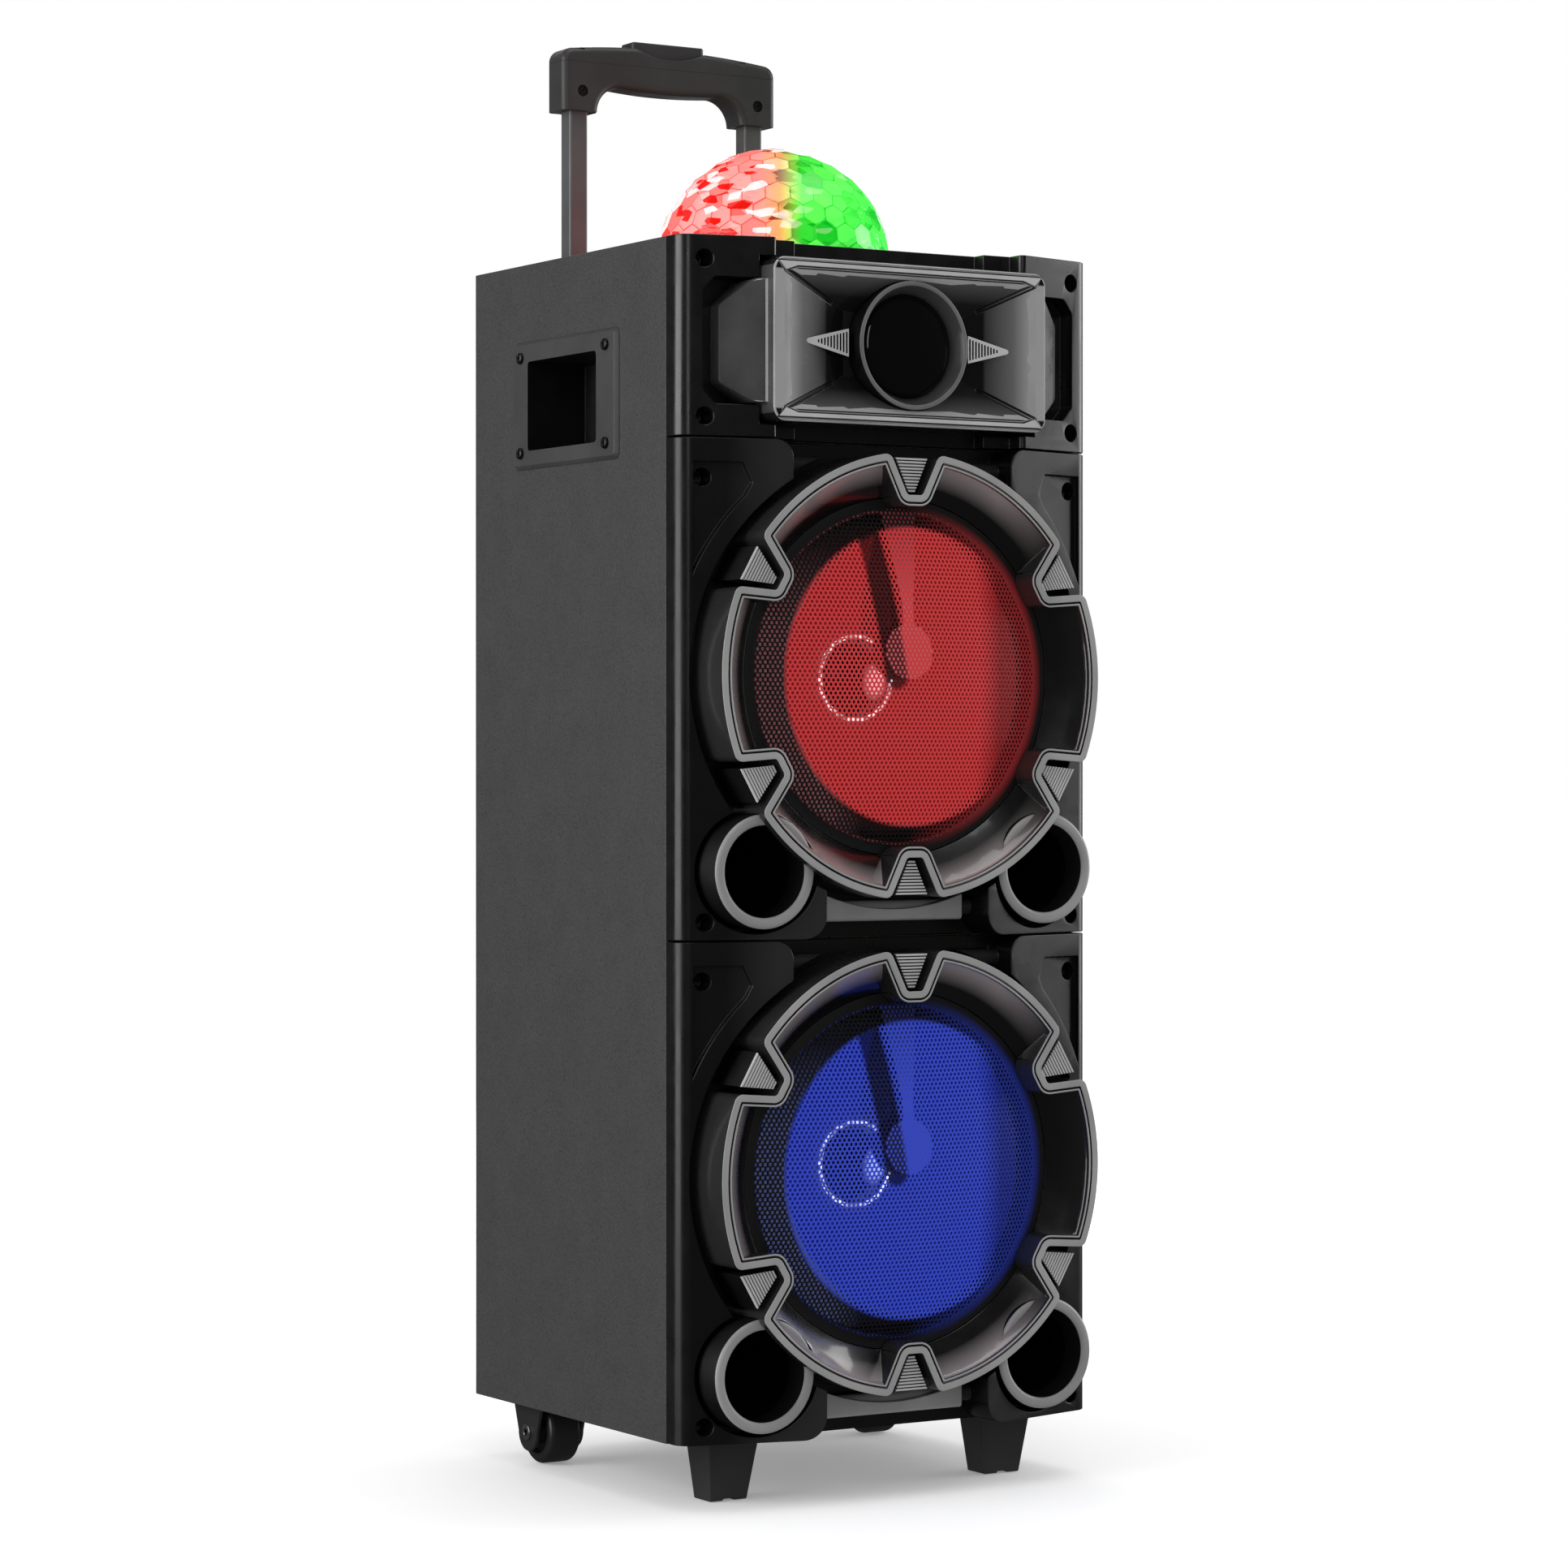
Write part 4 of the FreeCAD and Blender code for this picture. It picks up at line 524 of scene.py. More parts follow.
def cone_material(deck):
    """Pressed paper in the lamps' light: coloured over most of the cone, pale on its left edge."""
    shade = Shade("cone_" + deck)
    fibres = shade.noise(500.0, 5.0)
    shade.feed("Base Color", shade.blend_colours(fibres, (0.010, 0.009, 0.009), (0.035, 0.03, 0.03)))
    shade.feed("Roughness", shade.spread(fibres, 0.5, 0.75))
    shade.bump(fibres, 0.35, 0.0003)
    axis = middle("woofer_cone_" + deck)
    lit_shift = Vector((20.0 * MM, 0.0, 0.0))
    lit_height = 96.0 * MM
    narrowing = 1.16
    _, x, z = from_centre(shade, axis + lit_shift)
    lit_radius = shade.hypotenuse(shade.math("MULTIPLY", x, narrowing), z)
    lit = shade.remap(lit_radius, lit_height, lit_height + 3.0 * MM, 1.0, 0.0)
    _, across, up = from_centre(shade, axis)
    left = shade.remap(across, -45.0 * MM, -20.0 * MM, 1.0, 0.0)
    low = shade.remap(up, 30.0 * MM, 85.0 * MM, 1.0, 0.03)
    pale = shade.math("MULTIPLY", left, low)
    lit_open = shade.math("MULTIPLY", lit, arm_shadow(shade, deck, 19.0 * MM, 9.0 * MM))
    shade.feed("Emission Color", shade.mix(lit, PALE_GLOW[deck], GLOW[deck]))
    weave = shade.spread(shade.noise(900.0, 2.0), 0.10, 0.26)
    faint = shade.math("MULTIPLY", pale, shade.remap(lit, 0.0, 1.0, 1.0, 0.0))
    strength = shade.math("MULTIPLY", shade.math("MAXIMUM", lit_open, faint), weave)
    shade.feed("Emission Strength", strength)
    return shade.material


def cap_material(deck):
    """Glossy dust cap, dark, with the lamps' glint on its right-hand side."""
    shade = Shade("dust_cap_" + deck)
    fibres = shade.noise(300.0, 3.0)
    shade.feed("Base Color", shade.blend_colours(fibres, (0.004, 0.004, 0.004), (0.012, 0.012, 0.012)))
    shade.feed("Roughness", shade.spread(fibres, 0.10, 0.2))
    glint = middle("woofer_cone_" + deck) + Vector((14.0 * MM, 0.0, -2.0 * MM))
    radius, _, _ = from_centre(shade, glint)
    shade.glow(PALE_GLOW[deck], shade.remap(radius, 6.0 * MM, 13.0 * MM, 1.7, 0.0))
    return shade.material


def bead_material(deck):
    """The bead of adhesive round the dust cap, beaded unevenly, painted with a pale glow in uneven dots as
    its highlights in the lamps' light.
    """
    shade = Shade("bead_" + deck)
    lumps = shade.noise(260.0, 2.0)
    colour = tuple(0.5 + 0.5 * c for c in PALE_GLOW[deck])
    shade.feed("Base Color", shade.blend_colours(lumps, (0.3, 0.3, 0.3), (0.6, 0.6, 0.6)))
    # Painted highlight: the bead glows where its lumps rise.
    shade.glow(colour, shade.remap(lumps, 0.40, 0.60, 0.25, 1.5))
    shade.feed("Roughness", shade.spread(lumps, 0.2, 0.4))
    return shade.material


def woofer_cone(deck):
    """Ribbed cone with its half-roll surround, and a glossy dust cap in a bead painted bright as a
    highlight.
    """
    node = "woofer_cone_" + deck
    low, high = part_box(node)
    centre = middle(node)
    edge_radius = half_width(node)
    roll_radius = 6.8 * MM
    roll_height = 0.85 * roll_radius
    roll_centre = edge_radius - roll_radius
    roll_y = low.y + roll_height
    throat_radius = 26.0 * MM
    throat_y = roll_y + 36.0 * MM
    cone_edge = roll_centre - roll_radius
    bow = 2.2 * MM
    ripple_height = 0.25 * MM
    ripples = 7
    sheet = 1.4 * MM
    steps = 24
    roll_steps = 16

    def on_cone(share):
        """Radius and Y of the bowed cone, share 0 at its throat and 1 at its edge."""
        radius = throat_radius + (cone_edge - throat_radius) * share
        return radius, throat_y + (roll_y - throat_y) * share + bow * math.sin(math.pi * share)

    profile = [(throat_radius, throat_y)]
    for index in range(1, steps):
        share = index / steps
        radius, y = on_cone(share)
        ripple = ripple_height * math.sin(share * math.pi * 2 * ripples) if 0.35 < share < 0.95 else 0.0
        profile.append((radius, y + ripple))
    for index in range(roll_steps + 1):
        angle = math.pi * index / roll_steps
        radius = roll_centre - roll_radius * math.cos(angle)
        profile.append((radius, roll_y - roll_height * math.sin(angle)))
    profile += [(edge_radius, roll_y + sheet), (cone_edge, roll_y + sheet)]
    for index in range(steps - 1, -1, -4):
        radius, y = on_cone(index / steps)
        profile.append((radius, y + sheet))
    former_outside = throat_radius + 0.4 * MM
    former_inside = throat_radius - 1.0 * MM
    profile += [(former_outside, high.y), (former_inside, high.y), (former_inside, throat_y)]
    piece = turned("cone_and_surround_" + deck, profile, centre, 128, 60.0)
    settle(piece, node, cone_material(deck))

    cap_radius = 26.4 * MM
    cap_height = 9.5 * MM
    cap_sheet = 2.0 * MM
    cap_steps = 14
    cap_profile = [(0.0, throat_y - cap_height)]
    for index in range(1, cap_steps + 1):
        fall = math.cos(math.pi / 2 * index / cap_steps) ** 1.2
        cap_profile.append((cap_radius * index / cap_steps, throat_y - cap_height * fall))
    cap_profile += [(cap_radius, throat_y + 0.8 * MM), (0.0, throat_y - cap_height + cap_sheet)]
    cap = turned("dust_cap_" + deck, cap_profile, centre, 72, 50.0, closed_profile=False)
    cap.data.materials.append(cap_material(deck))
    bead_profile = arc(cap_radius + 1.5 * MM, throat_y - 3.0 * MM, 1.3 * MM, 0, 330, 11)
    bead = turned("glue_bead_" + deck, bead_profile, centre, 96, 50.0)
    bead.data.materials.append(bead_material(deck))
    for piece in (cap, bead):
        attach(piece, BODY_OF[node])


# --- Light dome -------------------------------------------
# Along the line of the lamps, 0 to 1: position, colour of a dark plate, colour of a bright one.
DOME_COLOURS = (
    (0.0, (0.62, 0.010, 0.010), (1.0, 0.30, 0.30)),
    (0.44, (0.50, 0.006, 0.002), (1.0, 0.33, 0.30)),
    (0.53, (0.12, 0.05, 0.003), (0.90, 0.40, 0.14)),
    (0.62, (0.0, 0.34, 0.01), (0.16, 1.0, 0.12)),
    (1.0, (0.0, 0.40, 0.02), (0.10, 0.95, 0.12)),
)
DOME_FREQUENCY = 6
DARK_SHARE = 0.16
# From the red lamp, at the left and back, to the green one, at the right and front.
LAMP_LINE = (0.854, -0.520, 0.0)


def dome_material():
    """Clear plastic in the light of the lamps below it: red to one side, green to the other.

    The colour is fixed in space, because the lamps stand still while the dome turns over them."""
    shade = Shade("clear_facets")
    radius = half_width("light_dome")
    along = shade.add("ShaderNodeVectorMath", operation="DOT_PRODUCT")
    along.inputs[1].default_value = LAMP_LINE
    shade.join(offset_from(shade, middle("light_dome")), along.inputs[0])
    across = shade.remap(along.outputs["Value"], -radius, radius, 0.0, 1.0)
    dark = shade.ramp(across, [(position, colour) for position, colour, _ in DOME_COLOURS])
    light = shade.ramp(across, [(position, colour) for position, _, colour in DOME_COLOURS])
    # Painted refraction: dark patches over the plates on the red side stand in for the back wall seen
    # through them.
    painted_light_cells = shade.add("ShaderNodeTexVoronoi", feature="F1", Scale=95.0)
    shade.join(shade.place((1.0, 1.0, 2.3)), painted_light_cells.inputs["Vector"])
    split = shade.add("ShaderNodeSeparateColor")
    shade.join(painted_light_cells.outputs["Color"], split.inputs["Color"])
    red_side = shade.remap(across, 0.48, 0.62, 1.0, 0.22)
    painted_refraction = shade.math("MULTIPLY", shade.remap(split.outputs["Red"], 0.78, 0.80, 0.0, 0.9), red_side)
    facet = shade.add("ShaderNodeAttribute", attribute_name="facet")
    whole = shade.math("SUBTRACT", facet.outputs["Fac"], painted_refraction)
    held = shade.remap(whole, 0.0, 1.0, 0.0, 1.0)
    bright = shade.mix(held, dark, light)
    # Painted glints: white highlight specks on the red side.
    painted_glints = shade.math("MULTIPLY", shade.remap(split.outputs["Green"], 0.95, 0.96, 0.0, 0.7), red_side)
    colour = shade.mix(painted_glints, bright, (1.0, 0.85, 0.85))
    shade.feed("Base Color", colour)
    shade.feed("Emission Color", colour)
    shade.set("Emission Strength", 0.62)
    shade.set("Transmission Weight", 0.35)
    shade.set("IOR", 1.46)
    ripple = shade.noise(70.0, 3.0, (1.0, 1.0, 2.4))
    shade.feed("Roughness", shade.spread(ripple, 0.02, 0.07))
    shade.bump(ripple, 0.35, 0.0012)
    return shade.material


def geodesic_faces(frequency):
    """Triangles that cover a unit ball, each side of an icosahedron cut into frequency parts."""
    longest_side = 2.1
    golden = (1 + math.sqrt(5)) / 2
    corners = []
    for a in (-1, 1):
        for b in (-golden, golden):
            corners += [Vector((0, a, b)), Vector((a, b, 0)), Vector((b, 0, a))]
    sides = []
    for i in range(12):
        for j in range(i + 1, 12):
            for k in range(j + 1, 12):
                trio = (corners[i], corners[j], corners[k])
                lengths = [(trio[m] - trio[(m + 1) % 3]).length for m in range(3)]
                if max(lengths) < longest_side:
                    sides.append(trio)
    triangles = []
    for a, b, c in sides:
        def at(i, j):
            return ((a * (frequency - i - j) + b * i + c * j) / frequency).normalized()

        for i in range(frequency):
            for j in range(frequency - i):
                triangles.append((at(i, j), at(i + 1, j), at(i, j + 1)))
                if i + j < frequency - 1:
                    triangles.append((at(i + 1, j), at(i + 1, j + 1), at(i, j + 1)))
    return triangles


def honeycomb(bm, centre, radius, border, turn, shades):
    """A ball of flat, mostly six-sided plates; each has a narrow sloping border and its own shade."""
    layer = bm.faces.layers.float.get("facet") or bm.faces.layers.float.new("facet")
    around = {}
    for triangle in geodesic_faces(DOME_FREQUENCY):
        centroid = (sum(triangle, Vector()) / 3).normalized()
        for corner in triangle:
            around.setdefault(tuple(round(c, 4) for c in corner), []).append(centroid)
    known = {}
    for key in sorted(around):
        out = Vector(key).normalized()
        side = out.orthogonal().normalized()
        other = out.cross(side)
        ring = sorted(around[key], key=lambda p: math.atan2((p - out).dot(other), (p - out).dot(side)))
        level = min(p.dot(out) for p in ring)
        outer = []
        inner = []
        for p in ring:
            spot = tuple(round(c, 4) for c in p)
            if spot not in known:
                known[spot] = bm.verts.new(centre + (turn @ p) * radius)
            outer.append(known[spot])
            flat = out * level + (p - out * p.dot(out)) * border
            inner.append(bm.verts.new(centre + (turn @ flat) * radius))
        count = len(ring)
        plate = bm.faces.new(inner)
        pale = shades.random() > DARK_SHARE
        plate[layer] = shades.random() ** 0.35 if pale else shades.random() * 0.2
        for k in range(count):
            edge = bm.faces.new((outer[k], outer[(k + 1) % count], inner[(k + 1) % count], inner[k]))
            edge[layer] = 0.05 + 0.45 * shades.random()


def keep_above(bm, height):
    """Cut away all that lies under a height."""
    bmesh.ops.bisect_plane(
        bm,
        geom=bm.verts[:] + bm.edges[:] + bm.faces[:],
        plane_co=(0, 0, height),
        plane_no=(0, 0, 1),
        clear_inner=True,
    )


def light_dome():
    """The shell: honeycomb outside and inside, joined by a flat rim."""
    low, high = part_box("light_dome")
    radius = half_width("light_dome")
    wall = 3.2 * MM
    centre = Vector(((low.x + high.x) / 2, (low.y + high.y) / 2, low.z))
    turn = Matrix.Rotation(math.radians(8.0), 3, "Z") @ Matrix.Rotation(math.radians(31.0), 3, "X")
    shades = random.Random(11)
    outer_plate = 0.94
    inner_plate = 0.88
    bm = bmesh.new()
    honeycomb(bm, centre, radius, outer_plate, turn, shades)
    honeycomb(bm, centre, radius - wall, inner_plate, turn, shades)
    bmesh.ops.recalc_face_normals(bm, faces=bm.faces)
    keep_above(bm, low.z)
    rim = [edge for edge in bm.edges if edge.is_boundary]
    bmesh.ops.bridge_loops(bm, edges=rim)
    piece = finish_mesh(bm, "faceted_dome", 3.0)
    return settle(piece, "light_dome", dome_material())


# --- Horn centre ------------------------------------------
THROAT_STEP = 8.2 * MM
LENS_RISE = 7.5 * MM
RIM_BAND = 3.2 * MM
FUNNEL_DEPTH = 10.3 * MM


def tweeter_lens(material):
    """The glossy dome at the throat, with its flange and the pod that it stands on."""
    node = "tweeter_lens"
    low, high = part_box(node)
    centre = middle(node)
    lens_radius = half_width("tweeter_ring") - THROAT_STEP
    seat_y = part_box("tweeter_ring")[1].y
    apex_y = low.y
    edge_y = apex_y + LENS_RISE
    profile = [(0.0, apex_y)]
    steps = 20
    for index in range(1, steps + 1):
        angle = math.pi / 2 * index / steps
        profile.append((lens_radius * math.sin(angle), edge_y - LENS_RISE * math.cos(angle)))
    flange = half_width(node)
    flange_back = seat_y + 3.0 * MM
    pod = 31.0 * MM
    profile += [(lens_radius, seat_y), (flange, seat_y), (flange, flange_back), (pod, flange_back)]
    profile += [(pod, high.y), (0.0, high.y)]
    return settle(turned("horn_lens", profile, centre, 96, 50.0, closed_profile=False), node, material)


def tweeter_ring(material):
    """The rolled rim round the throat, flaring inwards."""
    node = "tweeter_ring"
    low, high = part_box(node)
    centre = middle(node)
    outer = half_width(node)
    mouth = outer - RIM_BAND
    throat = outer - THROAT_STEP
    front = low.y
    roll = 1.0 * MM
    profile = arc(outer - roll, front + roll, roll, 0, -90, 8)
    profile += arc(mouth + roll, front + roll, roll, 270, 205, 6)
    profile += [(throat, front + FUNNEL_DEPTH), (throat, high.y), (outer, high.y)]
    return settle(turned("throat_ring", profile, centre, 128, 40.0), node, material)


# --- Ports ------------------------------------------------
def port_pair(deck, material):
    """Two tubes with rolled, flared mouths."""
    node = "port_tubes_" + deck
    low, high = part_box(node)
    collar = 37.3 * MM
    tube = 32.2 * MM
    bore = 29.7 * MM
    lip = 3.0 * MM
    flare = 20.0 * MM
    waist = 0.6 * MM
    front = low.y
    slab = 8.0 * MM
    step_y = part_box("woofer_deck_" + deck)[1].y - slab
    bm = bmesh.new()
    for side, edge_x in ((-1, low.x), (1, high.x)):
        centre = Vector((edge_x - side * collar, 0.0, (low.z + high.z) / 2))
        profile = arc(collar - lip, front + lip, lip, 0, -90, 8)
        profile += arc(bore + lip, front + lip, lip, 270, 180, 8)
        profile += [(bore, front + flare), (bore - waist, front + 2 * flare), (bore, high.y)]
        profile += [(tube, high.y), (tube, step_y), (collar, step_y)]
        ring_of(bm, profile, centre, 96)
    piece = finish_mesh(bm, "bass_ports_" + deck, 40.0)
    return settle(piece, node, material)


# --- Wheels -----------------------------------------------
def wheel(side_name, material):
    """Moulded wheel with a rounded tread, a dished web on each face and a hub that stands proud."""
    node = "rear_wheel_" + side_name
    low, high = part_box(node)
    centre = middle(node)
    side = 1 if side_name == "right" else -1
    radius = (high.z - low.z) / 2
    inside = low.x if side > 0 else high.x
    bore = 4.05 * MM
    hub = 7.5 * MM
    web_inner = 8.6 * MM
    web_outer = 14.4 * MM
    tyre_inner = 15.2 * MM
    near = 3.0 * MM
    far = near + 24.0 * MM
    dish = 4.0 * MM
    corner = 4.0 * MM
    profile = [(bore, 0.0), (hub, 0.0), (hub, near + 1.0 * MM)]
    profile += [(web_inner, near + dish), (web_outer, near + dish), (tyre_inner, near)]
    profile += arc(radius - corner, near + corner, corner, -90, 0, 6)
    profile += arc(radius - corner, far - corner, corner, 0, 90, 6)
    profile += [(tyre_inner, far), (web_outer, far - dish), (web_inner, far - dish), (hub, far)]
    profile += [(hub, far + dish), (bore, far + dish)]
    bm = bmesh.new()
    ring_of(bm, profile, Vector((0.0, 0.0, 0.0)), 64)
    turn = Matrix.Rotation(math.radians(-90.0 * side), 4, "Z")
    bmesh.ops.transform(bm, matrix=turn, verts=bm.verts)
    bmesh.ops.translate(bm, vec=Vector((inside, centre.y, centre.z)), verts=bm.verts)
    piece = finish_mesh(bm, "caster_wheel_" + side_name, 40.0)
    return settle(piece, node, material)


# --- All the materials ------------------------------------
HAIRLINE = ((3.0, 3.0, 1400.0), 0.10)

MATERIALS = {
    "cabinet_board": vinyl("leather_grain_vinyl", (0.050, 0.050, 0.050)),
    "raw_board": board_edge("fibreboard", (0.36, 0.25, 0.15)),
    "deck_plastic": moulded("satin_deck", (0.004, 0.004, 0.0042), 0.30, hairline=HAIRLINE, specular=0.8),
    "horn_plastic": moulded("gloss_horn", (0.010, 0.010, 0.0102), 0.26, smudge=0.06, coat=0.5),
    "trim_plastic": moulded("silver_trim", (0.50, 0.50, 0.502), 0.36, hairline=HAIRLINE),
    "ring_plastic": moulded("satin_ring", (0.14, 0.14, 0.141), 0.38),
    "lens_plastic": moulded("gloss_lens", (0.0015, 0.0015, 0.0016), 0.05, smudge=0.015),
    "magnet_iron": moulded("ferrite", (0.07, 0.07, 0.075), 0.6, grain=(900.0, 0.3, 0.0002)),
    "basket_steel": moulded("powder_coat", (0.015, 0.015, 0.015), 0.5, grain=(1400.0, 0.3, 0.0001)),
    "bezel_plastic": moulded("bezel", (0.020, 0.020, 0.0202), 0.26, smudge=0.04, coat=0.4),
    "port_plastic": moulded("port", (0.010, 0.010, 0.0102), 0.30),
    "cup_plastic": moulded("grained_cup", (0.05, 0.05, 0.05), 0.5, grain=(1500.0, 0.35, 0.0002)),
    "black_screws": moulded("black_oxide", (0.06, 0.06, 0.062), 0.3, metallic=1.0),
    "bright_rivet": moulded("nickel", (0.62, 0.61, 0.6), 0.24, metallic=1.0, hairline=HAIRLINE),
    "bracket_steel": moulded("bracket_paint", (0.02, 0.02, 0.021), 0.36, grain=(1100.0, 0.2, 0.0001)),
    "collar_plastic": moulded("collar", (0.016, 0.016, 0.017), 0.3),
    "circuit_board": moulded("solder_mask", (0.02, 0.1, 0.045), 0.3),
    "motor_steel": moulded("motor_can", (0.5, 0.5, 0.5), 0.3, metallic=1.0, hairline=HAIRLINE),
    "spider_plastic": moulded("spider", (0.45, 0.45, 0.45), 0.5),
    "panel_metal": moulded("panel_paint", (0.02, 0.02, 0.021), 0.44, grain=(1300.0, 0.35, 0.00015)),
    "socket_plastic": moulded("socket", (0.018, 0.018, 0.018), 0.4),
    "battery_wrap": moulded("battery_wrap", (0.12, 0.14, 0.18), 0.35),
    "knob_plastic": moulded("knob", (0.03, 0.03, 0.031), 0.33),
    "button_plastic": moulded("button", (0.06, 0.06, 0.06), 0.42),
    "trolley_metal": moulded(
        "anodised_tube", (0.12, 0.122, 0.125), 0.42, metallic=0.35, hairline=((1500.0, 1500.0, 4.0), 0.12)
    ),
    "bracket_plastic": moulded("bracket", (0.022, 0.022, 0.022), 0.45),
    "grip_plastic": moulded("grained_grip", (0.036, 0.036, 0.0365), 0.46, grain=(1500.0, 0.30, 0.00018)),
    "release_plastic": moulded("release", (0.036, 0.036, 0.0365), 0.42, grain=(1500.0, 0.25, 0.00015)),
    "foot_rubber": moulded("foot", (0.028, 0.028, 0.0282), 0.42, grain=(1200.0, 0.2, 0.00015)),
    "wheel_plastic": moulded("wheel", (0.012, 0.012, 0.012), 0.34, grain=(1000.0, 0.2, 0.0001)),
}


# Greys and black painted on parts of pieces: the rim, port and bridge greys are painted highlights, and
# the recess black is painted shade.
FUNNEL_GREY = moulded("ring_funnel", (0.05, 0.05, 0.05), 0.30, coat=0.5)
RIM_HIGHLIGHT = moulded("painted_rim_highlight", (0.34, 0.34, 0.341), 0.34)
PORT_RIM_HIGHLIGHT = moulded("painted_port_rim_highlight", (0.29, 0.29, 0.291), 0.34)
RIB_GREY = moulded("rib_grey", (0.50, 0.50, 0.502), 0.38)
BRIDGE_HIGHLIGHT = moulded("painted_bridge_highlight", (0.26, 0.26, 0.261), 0.34)
RECESS_SHADE = moulded("painted_recess_shade", (0.0025, 0.0025, 0.0025), 0.5)


def lamp_arm_material(deck):
    """Dark moulding; its front face is painted with the lamps' light as a glow, stronger near the sheet's
    middle.
    """
    shade = Shade("lamp_arm_" + deck)
    grain = shade.noise(500.0, 3.0)
    shade.feed("Base Color", shade.blend_colours(grain, (0.012, 0.011, 0.011), (0.03, 0.028, 0.028)))
    shade.feed("Roughness", shade.spread(grain, 0.4, 0.55))
    geometry = shade.add("ShaderNodeNewGeometry")
    facing = shade.add("ShaderNodeSeparateXYZ")
    shade.join(geometry.outputs["Normal"], facing.inputs["Vector"])
    front = shade.remap(facing.outputs["Y"], -0.95, -0.75, 1.0, 0.0)
    radius, _, _ = from_centre(shade, middle("grille_" + deck))
    near = shade.remap(radius, 45.0 * MM, 95.0 * MM, 0.50, 0.10)
    shade.glow(ARM_GLOW[deck], shade.math("MULTIPLY", front, near))
    return shade.material


def funnel_material():
    """The bezel's gloss plastic with a painted sheen: light grey where the funnel curls over at its rim,
    fading to black towards the grille and on the far right-hand side.
    """
    shade = Shade("bezel_funnel_painted_sheen")
    shade.set("Coat Weight", 0.8)
    shade.set("Coat Roughness", 0.07)
    gloss = shade.noise(60.0, 6.0)
    shade.feed("Roughness", shade.spread(gloss, 0.18, 0.26))
    axes = [middle("bezel_" + deck) for deck in DECKS]
    rim_sheen = [shade.remap(from_centre(shade, axis)[0], 126.0 * MM, 139.0 * MM, 0.0, 1.0) for axis in axes]
    _, across, up = from_centre(shade, (axes[0] + axes[1]) / 2)
    upper = shade.remap(up, -1.0 * MM, 1.0 * MM, 0.0, 1.0)
    pick = shade.add("ShaderNodeMix", data_type="FLOAT")
    shade.join(upper, pick.inputs[0])
    shade.join(rim_sheen[0], pick.inputs[2])
    shade.join(rim_sheen[1], pick.inputs[3])
    lit_side = shade.remap(across, 70.0 * MM, 110.0 * MM, 1.0, 0.02)
    painted_sheen = shade.math("MULTIPLY", pick.outputs[0], lit_side)
    shade.feed("Base Color", shade.blend_colours(painted_sheen, (0.002, 0.002, 0.002), (0.30, 0.262, 0.262)))
    return shade.material


# --- Second finishes and painted light and shade ----------
def paint_bezel(piece, deck):
    """The rim painted light grey as a highlight, dark groove and walls, and the graded funnel, with its
    painted sheen, inside the lip.
    """
    axis = middle("bezel_" + deck)
    rim_back = front_of("bezel_" + deck) + 0.9 * MM

    def is_rim(place, normal):
        return place.y < rim_back

    def is_funnel(place, normal):
        inward = Vector((axis.x - place.x, 0.0, axis.z - place.z)).normalized()
        return place.y > rim_back and normal.dot(inward) > 0.25 and normal.y < -0.2

    repaint(piece, funnel_material(), is_funnel)
    repaint(piece, RIM_HIGHLIGHT, is_rim)


def paint_wedges(piece, deck):
    """Rib tops painted light grey, and the grooves between them painted dark as shade."""
    front = front_of("bezel_wedges_" + deck)
    repaint(piece, RECESS_SHADE, lambda place, normal: place.y > front + 1.2 * MM)
    repaint(piece, RIB_GREY, lambda place, normal: place.y < front + 0.8 * MM)


def paint_ports(piece, deck):
    """The rolled mouths painted grey as a highlight; the tubes painted dark inside as shade."""
    front = front_of("port_tubes_" + deck)
    repaint(piece, PORT_RIM_HIGHLIGHT, lambda place, normal: place.y < front + 2.0 * MM)
    repaint(piece, RECESS_SHADE, lambda place, normal: place.y > front + 16.0 * MM and normal.y > -0.5)


def graded(name, axis_name, centre, stops, roughness=0.25, coat=0.5):
    """Plastic whose grey changes along X or Z, used to paint reflections and sheen: stops are (metres from
    the centre, grey).
    """
    shade = Shade(name)
    shade.set("Coat Weight", coat)
    shade.set("Coat Roughness", 0.1)
    gloss = shade.noise(60.0, 6.0)
    shade.feed("Roughness", shade.spread(gloss, roughness - 0.05, roughness + 0.05))
    _, across, up = from_centre(shade, centre)
    away = shade.math("ABSOLUTE", across if axis_name == "X" else up)
    reach = stops[-1][0]
    colours = [(distance / reach, (grey, grey, grey)) for distance, grey in stops]
    shade.feed("Base Color", shade.ramp(shade.remap(away, 0.0, reach, 0.0, 1.0), colours))
    shade.bump(shade.noise(2600.0, 2.0), 0.08, 0.00005)
    return shade.material


